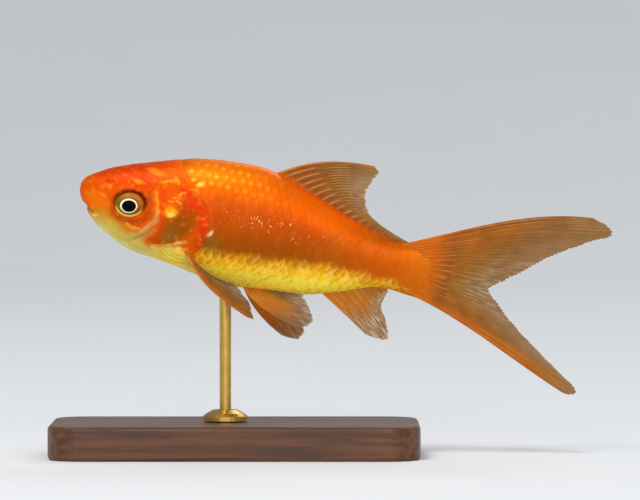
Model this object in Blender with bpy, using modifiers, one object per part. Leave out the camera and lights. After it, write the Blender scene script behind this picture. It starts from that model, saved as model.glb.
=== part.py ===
"""A common goldfish of 110 mm, swimming with its head a little raised, on a display stand.

The row frame has +Z up, the head towards -X and the fish's left side towards -Y. Its origin is
the middle of the stand's underside, and lengths are in metres.

The fish itself is drawn in a frame of its own, in millimetres: x runs from the snout to the tail
along the body's axis, y to the fish's right and z towards its back. One empty carries that frame
and gives the fish its pose.
"""

import math
from dataclasses import dataclass

import bmesh
import bpy
import numpy as np
from mathutils import Matrix, Vector

MM = 0.001

# Sizes below are in mm.
SIDES = {"left": -1, "right": 1}  # the sign of y on each side of the fish

# Pose
PITCH = math.radians(12.9)  # the head is raised by this much
SNOUT = (-32.0, 0.0, 55.0)  # the snout's tip in the row frame
GAP = 0.3  # between neighbouring pieces

# Body: (distance behind the snout, height) along the back and the belly, and half the width
BODY_LENGTH = 73.0
SNOUT_TIP = 0.02  # where the first ring stands, so that it isn't a point
BACK_LINE = (
    (0.0, 0.5), (0.5, 2.3), (2.7, 4.1), (6.7, 6.3), (13.0, 8.6), (21.0, 11.1), (30.0, 12.4),
    (37.0, 12.45), (44.0, 10.5), (51.0, 8.2), (58.0, 5.7), (64.0, 4.1), (73.0, 4.3),
)
BELLY_LINE = (
    (0.0, 0.5), (0.5, -1.0), (2.0, -3.0), (4.7, -6.1), (8.5, -8.2), (13.0, -9.95), (19.0, -10.6),
    (28.0, -11.8), (35.0, -12.4), (42.0, -11.6), (51.0, -10.5), (57.0, -8.6), (64.0, -6.0),
    (73.0, -6.3),
)
HALF_WIDTH = (
    (0.0, 0.0), (0.5, 1.5), (3.0, 3.1), (7.0, 4.5), (13.0, 5.7), (21.0, 6.5), (31.0, 6.7),
    (42.0, 5.7), (52.0, 4.0), (61.0, 2.4), (68.0, 1.3), (73.0, 0.8),
)
WIDEST = 0.52  # how far down the section is widest, as a share of its depth
BACK_POWER = 0.98  # 1 makes half an ellipse, less makes it squarer
BELLY_POWER = 0.92
RING_POINTS = 32
RING_COUNT = 34
SNOUT_CROWDING = 1.6  # above 1, rings stand closer together at the blunt snout

# Where the body is divided
GILL_CENTRE = (22.5, -1.8)
GILL_RADII = (5.4, 6.8)
GILL_TILT = PITCH  # the gill cover stands upright in the pose
GILL_THICKNESS = 1.2
GILL_RIM_POINTS = 24
GILL_CORE_REACH = 10.0
GILL_CORE_RINGS = 9
GILL_BEHIND = (math.radians(62.0), math.radians(-80.0))  # the stretch of rim the trunk meets
GILL_BEHIND_POINTS = 12
NAPE = (18.7, 10.4)  # the head's upper rear corner
THROAT = 24.4
STALK_START = 60.0
MOUTH_LINE = ((-2.0, -0.7), (4.8, -4.6), (9.6, -6.4))  # past the lips, mouth corner, jaw joint
JAW_BACK_LEAN = 1.0  # the cut behind the jaw leans forwards by this much on its way down
FAR = 25.0  # well outside the body, in any direction across it
PAST_TAIL = 100.0

# Eyes
EYE_CENTRE = (11.0, 3.9, -0.7)
EYE_RADII = (3.3, 2.5, 3.0)
EYE_SEGMENTS = 20
EYE_RINGS = 12

# Fins
@dataclass(frozen=True)
class Fin:
    """A fin in its own plane, as a fan of rays from the first to the last."""

    base: tuple  # the line where the rays start, just inside the body
    margin: tuple  # the line where they end
    first_bow: float = 0.0  # how far the first ray arches in the fin's plane
    last_bow: float = 0.0
    bow_skew: float = 0.0  # the arch peaks near the base at 1, near the margin at -1
    sweep: float = 0.0  # how far the margin swings out of the fin's plane
    cup: float = 0.0  # how far the rays' middles do


DORSAL = Fin(
    base=((38.0, 11.6), (52.0, 6.8), (67.0, 3.2)),
    margin=(
        (50.0, 17.2), (57.3, 18.1), (59.8, 17.0), (58.5, 13.8), (58.6, 11.0), (60.3, 7.9),
        (67.2, 4.9),
    ),
    first_bow=0.6,
    sweep=0.6,
)
ANAL = Fin(
    base=((53.0, -9.2), (60.0, -6.2), (66.2, -5.0)),
    margin=((65.0, -16.5), (68.7, -15.8), (67.1, -11.9), (65.9, -10.3), (66.4, -6.9)),
    first_bow=0.2,
)
TAIL_UPPER = Fin(
    base=((66.5, 3.4), (70.5, 1.8), (72.0, -0.85)),
    margin=(
        (104.5, 17.4), (108.9, 16.8), (109.5, 15.4), (105.0, 12.7), (97.7, 7.5), (92.4, 2.8),
        (87.3, -1.1),
    ),
    first_bow=1.15,
    bow_skew=-1.0,
    sweep=3.0,
)
TAIL_LOWER = Fin(
    base=((72.0, -1.15), (70.5, -3.6), (66.0, -5.2)),
    margin=(
        (87.3, -1.5), (91.0, -4.2), (96.0, -7.9), (105.2, -13.9), (109.2, -16.4), (109.9, -18.0),
        (107.5, -18.7),
    ),
    last_bow=1.2,
    bow_skew=0.9,
    sweep=3.0,
)
# The paired fins have their root at their own origin. Sweep and cup are outwards.
PELVIC = Fin(
    base=((-0.4, 0.6), (1.8, 0.8), (4.0, 0.9)),
    margin=((10.0, -7.7), (12.2, -8.3), (14.3, -7.4), (15.3, -5.6), (14.2, -2.8), (12.0, -0.7)),
    first_bow=-0.5,
    sweep=0.8,
)
PECTORAL = Fin(
    base=((-0.6, -0.6), (-0.6, 0.3), (-0.2, 1.2)),
    margin=((16.5, 0.2), (19.3, 0.9), (18.6, 3.0), (15.0, 5.9), (10.5, 7.4), (5.5, 5.4)),
    first_bow=-0.9,
    sweep=-0.8,
    cup=-1.6,
)
PELVIC_ROOT = (37.8, 1.0, -11.9)
PELVIC_FLARE = {"left": math.radians(41.0), "right": math.radians(32.0)}  # outwards
PELVIC_DROOP = {"left": 0.0, "right": math.radians(6.0)}  # of the first ray's tip
PECTORAL_ROOT = (24.6, 4.9, -7.2)
# The first ray's direction, and the direction from it towards the last ray, as on the right side
PECTORAL_ALONG = {"left": (15.6, 7.6, -10.1), "right": (17.0, 7.5, -4.5)}
PECTORAL_ACROSS = {"left": (0.1, -0.88, 0.45), "right": (0.2, -0.25, 0.95)}
RAYS = 13
RAY_STEPS = 6
FIN_ROOT_THICKNESS = 1.0
FIN_EDGE_SHARE = 0.55  # the outer edge's thickness, as a share of the root's

SHARP_EDGE = math.radians(35.0)
PATH_STEPS = 12  # between two neighbouring points of a smooth path

# Stand
BASE_SIZE = (76.0, 38.0, 7.0)
BASE_CORNER = 7.0
BASE_CORNER_STEPS = 8
BASE_ROUNDING = 0.8
BASE_ROUNDING_STEPS = 3
ROD_X = -2.0
ROD_RADIUS = 1.2
ROD_FOOT = 3.0  # the rod stands in the base down to this height
ROD_TOP = 41.0
BELLY_HOLE_START = 30.0  # a height below the belly, where the cutter for the rod's hole starts
COLLAR_PROFILE = ((1.5, 2.2), (2.6, 2.2), (3.9, 1.5), (4.6, 0.9), (4.6, 0.0), (1.5, 0.0))
TURNED_SIDES = 28


def smooth_line(points, at):
    """Height at a distance behind the snout, on a smooth curve through the points.

    The curve is smooth in the square root of the distance, which rounds the snout's end.
    """
    x = np.sqrt([p[0] for p in points])
    y = np.array([p[1] for p in points])
    slope = np.gradient(y, x)
    here = math.sqrt(at)
    i = int(np.clip(np.searchsorted(x, here) - 1, 0, len(x) - 2))
    step = x[i + 1] - x[i]
    t = (here - x[i]) / step
    rise = t * t * (3 - 2 * t)
    bend = step * (slope[i] * t * (1 - t) ** 2 - slope[i + 1] * t * t * (1 - t))
    return y[i] * (1 - rise) + y[i + 1] * rise + bend


def smooth_path(points, count):
    """Points evenly spread along a Catmull-Rom curve through the given ones."""
    p = np.array(points, float)
    p = np.vstack([2 * p[0] - p[1], p, 2 * p[-1] - p[-2]])
    fine = []
    for a, b, c, d in zip(p, p[1:], p[2:], p[3:]):
        for t in np.linspace(0, 1, PATH_STEPS, endpoint=False):
            cubic = 3 * (b - c) + d - a
            square = 2 * a - 5 * b + 4 * c - d
            fine.append(b + 0.5 * t * (c - a + t * (square + t * cubic)))
    fine = np.array([*fine, p[-2]])
    along = np.concatenate([[0], np.cumsum(np.linalg.norm(np.diff(fine, axis=0), axis=1))])
    at = np.linspace(0, along[-1], count)
    return np.stack([np.interp(at, along, fine[:, k]) for k in range(fine.shape[1])], axis=1)


class Model:
    """The collection of parts, the collection of cutters, and the empty that poses the fish."""

    def __init__(self):
        for old in list(bpy.data.objects):
            bpy.data.objects.remove(old)
        self.parts = self.collection("goldfish_model")
        self.cutters = self.collection("cutters")
        self.fish = bpy.data.objects.new("fish_pose", None)
        self.parts.objects.link(self.fish)
        self.fish.location = Vector(SNOUT) * MM
        self.fish.rotation_euler = (0.0, PITCH, 0.0)

    @staticmethod
    def collection(name):
        made = bpy.data.collections.new(name)
        bpy.context.scene.collection.children.link(made)
        return made

    def part(self, name, mesh, finish, on_fish=True):
        made = bpy.data.objects.new(name, mesh)
        self.parts.objects.link(made)
        mesh.materials.append(finish)
        made.parent = self.fish if on_fish else None
        return made

    def cutter(self, name, mesh, on_fish=True):
        made = bpy.data.objects.new(name, mesh)
        self.cutters.objects.link(made)
        made.parent = self.fish if on_fish else None
        made.hide_render = True
        made.display_type = "WIRE"
        return made


def material(name, colour, roughness, metallic=0.0):
    made = bpy.data.materials.new(name)
    made.use_nodes = True
    shader = made.node_tree.nodes["Principled BSDF"]
    shader.inputs["Base Color"].default_value = (*colour, 1.0)
    shader.inputs["Roughness"].default_value = roughness
    shader.inputs["Metallic"].default_value = metallic
    made.diffuse_color = (*colour, 1.0)
    return made


def boolean(target, cutter, operation="DIFFERENCE"):
    modifier = target.modifiers.new(f"{operation} {cutter.name}", "BOOLEAN")
    modifier.operation = operation
    modifier.object = cutter
    modifier.solver = "EXACT"


def loft(name, rows, closed=True):
    """A mesh through rows of equally many points. Closed rows are rings, and get end caps."""
    count = len(rows[0])
    mesh = bmesh.new()
    made = [[mesh.verts.new(Vector(point) * MM) for point in row] for row in rows]
    for near, far in zip(made, made[1:]):
        for i in range(count if closed else count - 1):
            j = (i + 1) % count
            mesh.faces.new((near[i], near[j], far[j], far[i]))
    if closed:
        mesh.faces.new(list(reversed(made[0])))
        mesh.faces.new(made[-1])
    bmesh.ops.recalc_face_normals(mesh, faces=mesh.faces)
    return finish_mesh(mesh, name)


def finish_mesh(mesh, name):
    """Mesh data from a bmesh, shaded smooth except over sharp edges."""
    data = bpy.data.meshes.new(name)
    mesh.to_mesh(data)
    mesh.free()
    data.shade_smooth()
    data.set_sharp_from_angle(angle=SHARP_EDGE)
    return data


def body_ring(at, grow):
    """Points round the body at a distance behind the snout, moved outwards by grow."""
    top = smooth_line(BACK_LINE, at) + grow
    bottom = smooth_line(BELLY_LINE, at) - grow
    half = smooth_line(HALF_WIDTH, at) + grow
    middle = top + (bottom - top) * WIDEST
    ring = []
    for angle in np.linspace(0, 2 * math.pi, RING_POINTS, endpoint=False):
        out, up = math.sin(angle), math.cos(angle)
        reach, power = (top - middle, BACK_POWER) if up > 0 else (middle - bottom, BELLY_POWER)
        across = half * math.copysign(abs(out) ** power, out)
        height = middle + reach * math.copysign(abs(up) ** power, up)
        ring.append((at, across, height))
    return ring


def body_mesh(name, grow=0.0, start=SNOUT_TIP, end=BODY_LENGTH, count=RING_COUNT):
    """The body without fins, or a length of it, moved outwards by grow."""
    shares = np.linspace(0, 1, count) ** SNOUT_CROWDING
    rings = [np.array(body_ring(start + (end - start) * share, grow)) for share in shares]
    rings[0][:, 0] -= max(grow, 0)
    rings[-1][:, 0] += max(grow, 0)
    return loft(name, rows=rings)


def block(model, name, outline, reach=(-FAR, FAR)):
    """A cutter with a flat outline in the fish's side view, reaching from one y to another."""
    rows = [[(x, y, z) for x, z in outline] for y in reach]
    return model.cutter(name, loft(name, rows))


def gill_arc(grow, start, end, count):
    """Points on the gill cover's oval rim, from one angle to another. 0 is the rear."""
    points = []
    for angle in np.linspace(start, end, count):
        along = (GILL_RADII[0] + grow) * math.cos(angle)
        up = (GILL_RADII[1] + grow) * math.sin(angle)
        x = GILL_CENTRE[0] + along * math.cos(GILL_TILT) - up * math.sin(GILL_TILT)
        z = GILL_CENTRE[1] + along * math.sin(GILL_TILT) + up * math.cos(GILL_TILT)
        points.append((x, z))
    return points


def gill_rim(grow):
    return gill_arc(grow, 0.0, 2 * math.pi, GILL_RIM_POINTS + 1)[:-1]


def head_outline(grow):
    """The head in side view: down from the nape, round behind the gill cover, to the throat."""
    rim = gill_arc(grow, *GILL_BEHIND, GILL_BEHIND_POINTS)
    nape = (NAPE[0] + grow, NAPE[1])
    return [(-FAR, FAR), (nape[0], FAR), nape, *rim, (THROAT + grow, -FAR), (-FAR, -FAR)]


def jaw_outline(grow):
    """The lower jaw in side view: below the mouth line and in front of the jaw's joint."""
    (x_lip, z_lip), (x_corner, z_corner), (x_joint, z_joint) = MOUTH_LINE
    return [
        (x_lip, z_lip + grow), (x_corner, z_corner + grow), (x_joint + grow, z_joint + grow),
        (x_joint - JAW_BACK_LEAN + grow, -FAR), (x_lip, -FAR),
    ]


def stalk_outline(start):
    """All that is behind a line across the body, in side view."""
    return [(start, FAR), (start, -FAR), (PAST_TAIL, -FAR), (PAST_TAIL, FAR)]


def add_head(model, skin):
    head = model.part("head", body_mesh("head"), skin)
    boolean(head, block(model, "head_keep", head_outline(0.0)), "INTERSECT")
    boolean(head, block(model, "mouth_cut", jaw_outline(GAP)))
    jaw = model.part("lower_jaw", body_mesh("lower_jaw"), skin)
    boolean(jaw, block(model, "jaw_keep", jaw_outline(0.0)), "INTERSECT")
    return head


def add_trunk(model, skin):
    trunk = model.part("trunk", body_mesh("trunk"), skin)
    boolean(trunk, block(model, "head_clearance", head_outline(GAP)))
    boolean(trunk, block(model, "stalk_clearance", stalk_outline(STALK_START)))
    stalk = model.part("tail_stalk", body_mesh("tail_stalk"), skin)
    boolean(stalk, block(model, "stalk_keep", stalk_outline(STALK_START + GAP)), "INTERSECT")
    return trunk


def gill_core(model, name, depth):
    """A cutter shaped like the head's inside near the gill covers, this deep under the skin."""
    start, end = GILL_CENTRE[0] - GILL_CORE_REACH, GILL_CENTRE[0] + GILL_CORE_REACH
    return model.cutter(name, body_mesh(name, -depth, start, end, GILL_CORE_RINGS))


def add_gill_covers(model, skin, head):
    under_cover = gill_core(model, "gill_cover_inside", GILL_THICKNESS)
    under_pocket = gill_core(model, "gill_pocket_floor", GILL_THICKNESS + GAP)
    for name, side in SIDES.items():
        reach = sorted((0.0, side * FAR))
        cover = model.part(f"gill_cover_{name}", body_mesh(f"gill_cover_{name}"), skin)
        boolean(cover, block(model, f"gill_keep_{name}", gill_rim(0.0), reach), "INTERSECT")
        boolean(cover, under_cover)
        pocket = block(model, f"gill_pocket_{name}", gill_rim(GAP), reach)
        boolean(pocket, under_pocket)
        boolean(head, pocket)


def eye_mesh(name, grow):
    """An ellipsoid whose poles face sideways."""
    mesh = bmesh.new()
    bmesh.ops.create_uvsphere(
        mesh, u_segments=EYE_SEGMENTS, v_segments=EYE_RINGS, radius=1.0
    )
    across, deep, tall = (radius + grow for radius in EYE_RADII)
    scale = Matrix.Diagonal((across * MM, deep * MM, tall * MM, 1.0))
    turn = Matrix.Rotation(math.radians(90), 4, "X")
    bmesh.ops.transform(mesh, matrix=scale @ turn, verts=mesh.verts)
    return finish_mesh(mesh, name)


def add_eyes(model, finish, head):
    for name, side in SIDES.items():
        place = Vector((EYE_CENTRE[0], side * EYE_CENTRE[1], EYE_CENTRE[2])) * MM
        eye = model.part(f"eye_{name}", eye_mesh(f"eye_{name}", 0.0), finish)
        eye.location = place
        socket = model.cutter(f"eye_socket_{name}", eye_mesh(f"eye_socket_{name}", GAP))
        socket.location = place
        boolean(head, socket)


def fin_sheet(name, fin, side):
    """An open sheet of rays in the x-z plane. On the left side it curves the other way."""
    base = smooth_path(fin.base, RAYS)
    margin = smooth_path(fin.margin, RAYS)
    rows = []
    for i, (start, end) in enumerate(zip(base, margin)):
        along = end - start
        arch = np.array([-along[1], along[0]]) / np.linalg.norm(along)
        bow = fin.first_bow + (fin.last_bow - fin.first_bow) * i / (RAYS - 1)
        row = []
        for t in np.linspace(0, 1, RAY_STEPS + 1):
            middle = 4 * t * (1 - t)
            x, z = start + along * t + arch * bow * middle * (1 + fin.bow_skew * (1 - 2 * t))
            row.append((x, side * (fin.sweep * t * t + fin.cup * middle), z))
        rows.append(row)
    return loft(name, rows, closed=False)


def add_fin(model, name, fin, skin, clearance, place=None, side=1):
    """A fin that thins towards its margin and stops at the body's surface."""
    made = model.part(name, fin_sheet(name, fin, side), skin)
    if place is not None:
        made.matrix_local = place
    fullness = made.vertex_groups.new(name="fullness")
    for vertex in made.data.vertices:
        step = vertex.index % (RAY_STEPS + 1)
        fullness.add([vertex.index], 1.0 - step / RAY_STEPS, "REPLACE")
    solidify = made.modifiers.new("Thickness", "SOLIDIFY")
    solidify.thickness = FIN_ROOT_THICKNESS * MM
    solidify.offset = 0.0
    solidify.vertex_group = fullness.name
    solidify.thickness_vertex_group = FIN_EDGE_SHARE
    boolean(made, clearance)


def turned_frame(root, along, across):
    """The placing that lays a fin's x axis along its first ray, and its z axis across it."""
    x_axis = Vector(along).normalized()
    y_axis = Vector(across).cross(x_axis).normalized()
    z_axis = x_axis.cross(y_axis)
    turn = Matrix((x_axis, y_axis, z_axis)).transposed().to_4x4()
    return Matrix.Translation(Vector(root) * MM) @ turn


def add_fins(model, skin):
    clearance = model.cutter("fin_clearance", body_mesh("fin_clearance", GAP))
    add_fin(model, "dorsal_fin", DORSAL, skin, clearance)
    add_fin(model, "anal_fin", ANAL, skin, clearance)
    add_fin(model, "tail_fin_upper", TAIL_UPPER, skin, clearance)
    add_fin(model, "tail_fin_lower", TAIL_LOWER, skin, clearance)
    for name, side in SIDES.items():
        x, y, z = PELVIC_ROOT
        flare, droop = PELVIC_FLARE[name], PELVIC_DROOP[name]
        along = (math.cos(droop), 0.0, -math.sin(droop))
        across = (0.0, -side * math.sin(flare), math.cos(flare))
        place = turned_frame((x, side * y, z), along, across)
        add_fin(model, f"pelvic_fin_{name}", PELVIC, skin, clearance, place, side)
        x, y, z = PECTORAL_ROOT
        mirror = Vector((1.0, side, 1.0))
        along = Vector(PECTORAL_ALONG[name]) * mirror
        across = Vector(PECTORAL_ACROSS[name]) * mirror
        place = turned_frame((x, side * y, z), along, across)
        add_fin(model, f"pectoral_fin_{name}", PECTORAL, skin, clearance, place, side)


def add_base(model, finish, rod_hole):
    """A plate with round corners, its edges eased, and a hole for the rod's foot."""
    mesh = bmesh.new()
    bmesh.ops.create_cube(mesh, size=1.0)
    bmesh.ops.scale(mesh, vec=Vector(BASE_SIZE) * MM, verts=mesh.verts)
    corners = [edge for edge in mesh.edges if abs(edge.verts[0].co.z - edge.verts[1].co.z) > 0]
    bmesh.ops.bevel(
        mesh, geom=corners, offset=BASE_CORNER * MM, segments=BASE_CORNER_STEPS, profile=0.5,
        affect="EDGES",
    )
    base = model.part("stand_base", finish_mesh(mesh, "stand_base"), finish, on_fish=False)
    base.location.z = BASE_SIZE[2] / 2 * MM
    ease = base.modifiers.new("Eased edges", "BEVEL")
    ease.width = BASE_ROUNDING * MM
    ease.segments = BASE_ROUNDING_STEPS
    ease.limit_method = "ANGLE"
    ease.angle_limit = math.radians(60)
    boolean(base, rod_hole)


def cylinder_mesh(name, radius, bottom, top):
    mesh = bmesh.new()
    bmesh.ops.create_cone(
        mesh, cap_ends=True, segments=TURNED_SIDES, radius1=radius * MM, radius2=radius * MM,
        depth=(top - bottom) * MM,
    )
    bmesh.ops.translate(mesh, vec=(ROD_X * MM, 0.0, (top + bottom) / 2 * MM), verts=mesh.verts)
    return finish_mesh(mesh, name)


def add_stand(model, wood, metal, trunk):
    """The base, the rod that stands in it and ends inside the belly, and the collar round it."""
    wide = ROD_RADIUS + GAP
    floor_hole = cylinder_mesh("rod_hole_in_base", wide, ROD_FOOT - GAP, 2 * BASE_SIZE[2])
    add_base(model, wood, model.cutter("rod_hole_in_base", floor_hole, on_fish=False))
    belly_hole = cylinder_mesh("rod_hole_in_belly", wide, BELLY_HOLE_START, ROD_TOP + GAP)
    boolean(trunk, model.cutter("rod_hole_in_belly", belly_hole, on_fish=False))
    rod = cylinder_mesh("stand_rod", ROD_RADIUS, ROD_FOOT, ROD_TOP)
    model.part("stand_rod", rod, metal, on_fish=False)
    add_collar(model, metal)


def add_collar(model, metal):
    mesh = bmesh.new()
    profile = [mesh.verts.new((radius * MM, 0.0, height * MM)) for radius, height in COLLAR_PROFILE]
    for i, vertex in enumerate(profile):
        mesh.edges.new((vertex, profile[(i + 1) % len(profile)]))
    collar = model.part("stand_collar", finish_mesh(mesh, "stand_collar"), metal, on_fish=False)
    collar.location = Vector((ROD_X, 0.0, BASE_SIZE[2] + GAP)) * MM
    screw = collar.modifiers.new("Turning", "SCREW")
    screw.steps = TURNED_SIDES
    screw.render_steps = TURNED_SIDES
    screw.use_merge_vertices = True
    screw.merge_threshold = 0.00001
    screw.use_normal_calculate = True


def build():
    model = Model()
    skin = material("orange_skin", (0.85, 0.19, 0.02), 0.35)
    fin_skin = material("fin_skin", (0.62, 0.27, 0.10), 0.45)
    eye = material("eye", (0.30, 0.20, 0.05), 0.08)
    wood = material("stained_wood", (0.045, 0.022, 0.012), 0.40)
    brass = material("brass", (0.75, 0.56, 0.25), 0.30, metallic=1.0)
    head = add_head(model, skin)
    trunk = add_trunk(model, skin)
    add_gill_covers(model, skin, head)
    add_eyes(model, eye, head)
    add_fins(model, fin_skin)
    add_stand(model, wood, brass, trunk)


build()
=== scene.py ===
import math
from dataclasses import dataclass

import bmesh
import bpy
import numpy as np
from mathutils import Matrix, Vector, noise


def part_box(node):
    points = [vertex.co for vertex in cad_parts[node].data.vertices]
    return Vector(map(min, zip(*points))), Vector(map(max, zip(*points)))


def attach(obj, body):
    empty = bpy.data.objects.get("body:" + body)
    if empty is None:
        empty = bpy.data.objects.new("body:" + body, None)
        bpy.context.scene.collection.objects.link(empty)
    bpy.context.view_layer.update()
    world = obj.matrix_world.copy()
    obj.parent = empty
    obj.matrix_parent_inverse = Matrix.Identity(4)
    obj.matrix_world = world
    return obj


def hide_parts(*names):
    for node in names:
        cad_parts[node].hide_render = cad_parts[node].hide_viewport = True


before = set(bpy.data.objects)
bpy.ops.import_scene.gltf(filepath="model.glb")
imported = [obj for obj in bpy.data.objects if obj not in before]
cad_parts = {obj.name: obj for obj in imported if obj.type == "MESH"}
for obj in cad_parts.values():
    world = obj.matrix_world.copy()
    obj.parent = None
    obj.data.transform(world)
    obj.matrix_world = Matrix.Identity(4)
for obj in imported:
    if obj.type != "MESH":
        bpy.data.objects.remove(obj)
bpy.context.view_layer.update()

# The looks of a life-size goldfish model on its display stand. The flesh is one skin with scales
# laid over it, the fins are thin rayed sheets, and the stand keeps the solids of the frame. The
# fish is drawn in a frame of its own, in millimetres: x runs from the snout to the tail along the
# body, y to the fish's right and z towards its back.

MM = 0.001
PITCH = math.radians(12.9)  # the head is raised by this much

# Body: (distance behind the snout, height) along the back and the belly, and half the width
SNOUT_TIP = 0.02  # where the first ring stands, so that it isn't a point
BODY_LENGTH = 73.0
BACK_LINE = (
    (0.0, 0.5), (0.5, 2.3), (2.7, 4.1), (6.7, 6.3), (13.0, 8.6), (21.0, 11.1), (30.0, 12.4),
    (37.0, 12.45), (44.0, 10.5), (51.0, 8.2), (58.0, 5.7), (64.0, 4.1), (73.0, 4.3),
)
BELLY_LINE = (
    (0.0, 0.5), (0.5, -1.0), (2.0, -3.0), (4.7, -6.1), (8.5, -8.2), (13.0, -9.95), (19.0, -10.6),
    (28.0, -11.8), (35.0, -12.4), (42.0, -11.6), (51.0, -10.5), (57.0, -8.6), (64.0, -6.0),
    (73.0, -6.3),
)
HALF_WIDTH = (
    (0.0, 0.0), (0.5, 1.5), (3.0, 3.1), (7.0, 4.5), (13.0, 5.7), (21.0, 6.5), (31.0, 6.7),
    (42.0, 5.7), (52.0, 4.0), (61.0, 2.4), (68.0, 1.3), (73.0, 0.8),
)
WIDEST = 0.52  # how far down the section is widest, as a share of its depth
BACK_POWER = 0.98
BELLY_POWER = 0.92

# Skin
HEAD_RINGS = 190
TRUNK_RINGS = 90
HEAD_END = 29.0
SIDE_STEPS = 150  # round one side, from the back to the belly
SKIN_FOLDS = ((2.6, 3.0, 0.04), (1.0, 9.0, 0.014))  # size, seed and height of the head's folds
COAT = 0.12  # depth of the scales over the skin
NAPE_LINE = ((-9.5, 25.2), (-8.6, 25.3), (5.5, 23.6), (10.4, 19.2), (14.0, 17.6))  # height, x

# Head
EYE_CENTRE = (11.0, 3.9, -0.7)
EYE_RADII = (3.3, 2.5, 3.0)
EYE_OPENING = (3.12, 2.54)  # between the rims of the socket, level in the model
SOCKET = (
    (0.0, -1.6), (0.88, -1.35), (0.97, -0.8), (1.03, -0.3), (1.09, 0.05), (1.17, 0.12),
    (1.35, 0.07), (1.62, 0.02), (2.0, 0.0),
)  # (share of the opening, height of the skin)
GILL_CENTRE = (22.5, -1.8)
GILL_RADII = (5.4, 6.8)
GILL_PLATE = (
    (0.0, 0.0), (0.45, 0.04), (0.72, 0.11), (0.84, 0.12), (0.92, 0.13), (0.98, 0.09), (1.03, -0.01),
    (1.09, -0.09), (1.18, -0.07), (1.4, 0.0),
)  # (share of the gill cover's radius, height)
CHEEK_EDGE = ((-8.6, 11.6), (-7.3, 13.4), (-5.0, 16.0), (-1.6, 16.95), (1.0, 16.5), (3.3, 15.4))
CHEEK_RIDGE = ((-1.8, 0.0), (-0.7, 0.09), (-0.1, 0.06), (0.45, -0.1), (1.0, -0.03), (1.8, 0.0))
MOUTH_START = (-2.0, -0.7)
MOUTH_CORNER = (4.8, -4.6)
LIPS = (
    (-2.4, 0.0), (-1.5, -0.06), (-0.9, 0.08), (-0.35, 0.1), (0.0, -0.3), (0.35, 0.11),
    (0.95, 0.13), (1.7, -0.04), (2.8, 0.0),
)  # (distance above the mouth's slit, height)
NOSTRILS = ((5.35, 2.75, 0.38), (6.45, 3.1, 0.42))  # x, z, radius
NOSTRIL_DEPTH = 0.14
NOSTRIL_FLAP = ((5.9, 2.9), (0.16, 0.5), 0.35)  # centre, radii, tilt
NOSTRIL_FLAP_HEIGHT = 0.1
THROAT_FOLD_HEIGHT = 0.09
THROAT_FOLD_SPACING = 0.11  # as a share of the gill cover's radius

# Scales
LATERAL_LINE = 0.46  # as a share of the way from the back to the belly
SCALES_START = 19.0
SCALES_END = 72.4
SCALED_END = 74.6  # the last ones lie over the root of the tail fin
NARROWING = 0.2  # of the body past its end, by each mm
SCALE_SPACING = ((19.0, 1.8), (45.0, 1.7), (74.0, 1.35))  # (x, distance to the next one)
ROW_SPACING = ((19.0, 1.95), (40.0, 2.0), (60.0, 1.5), (74.0, 1.15))
ROWS_EACH_WAY = 9  # at most, from the lateral line to the back and to the belly
ROW_MARGIN = 0.25  # the least from a row to the middle of the back or belly, in spacings
SCALE_STEPS = 8
SCALE_THICKNESS = 0.025
SCALE_ROOT_THICKNESS = 0.05  # added to it at the root
SCALE_LENGTH = 2.05  # in spacings, so each reaches over the two behind it
SCALE_HALF_WIDTH = 1.04  # in spacings of the rows
SCALE_ROOTED = -0.25  # height of a scale's root over the skin, in depths of the coat
SCALE_RISE = 1.2  # from there to its free edge, and the most that it stands
SCALE_CROWN = 0.03  # how much a scale rises in its middle
NAPE_TUCK = 0.08  # how far the first scales go under the skin of the nape and the shoulder
TAIL_TUCK = 0.07  # and the last ones at the root of the tail fin
TAIL_TUCK_START = 69.0
RIDGE_LIFT = 0.02  # of the middle rows over those beside them
SCALE_LEAN = 0.03  # how far scales vary: in slant, as a slope
SCALE_UNEVEN = 0.006  # in the height of the free edge
SCALE_TILT = 0.009  # and from side to side
SCALE_SHARP_EDGE = math.radians(40)  # faces that meet at more than this keep a hard edge
SCALE_SEED = 7
PATCH = 0.003  # one scale's patch on the OFBake map
UNWRAP_EDGE = 0.02  # left empty round the skin's own OFBake map


def ease(low, high, value):
    """0 at low and 1 at high, smooth between them. Low may be above high."""
    t = np.clip((value - low) / (high - low), 0, 1)
    return t * t * (3 - 2 * t)


def bell(value):
    return np.exp(-value * value)


def through(points, at):
    """A smooth curve through points, read at many places, and level outside them."""
    x = np.array([p[0] for p in points], float)
    y = np.array([p[1] for p in points], float)
    slope = np.gradient(y, x)
    at = np.clip(at, x[0], x[-1])
    i = np.clip(np.searchsorted(x, at) - 1, 0, len(x) - 2)
    step = x[i + 1] - x[i]
    t = (at - x[i]) / step
    rise = t * t * (3 - 2 * t)
    bend = step * (slope[i] * t * (1 - t) ** 2 - slope[i + 1] * t * t * (1 - t))
    return y[i] * (1 - rise) + y[i + 1] * rise + bend


def rounded_line(points, at):
    """Like through(), but smooth in the square root of the distance, which rounds the snout."""
    return through([(math.sqrt(x), y) for x, y in points], np.sqrt(at))


def smooth_path(points, count):
    """Points evenly spread along a Catmull-Rom curve through the given ones."""
    p = np.array(points, float)
    p = np.vstack([2 * p[0] - p[1], p, 2 * p[-1] - p[-2]])
    fine = []
    for a, b, c, d in zip(p, p[1:], p[2:], p[3:]):
        for t in np.linspace(0, 1, 16, endpoint=False):
            cubic = 3 * (b - c) + d - a
            square = 2 * a - 5 * b + 4 * c - d
            fine.append(b + 0.5 * t * (c - a + t * (square + t * cubic)))
    fine = np.array([*fine, p[-2]])
    along = np.concatenate([[0], np.cumsum(np.linalg.norm(np.diff(fine, axis=0), axis=1))])
    at = np.linspace(0, along[-1], count)
    return np.stack([np.interp(at, along, fine[:, k]) for k in range(fine.shape[1])], axis=1)


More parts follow.
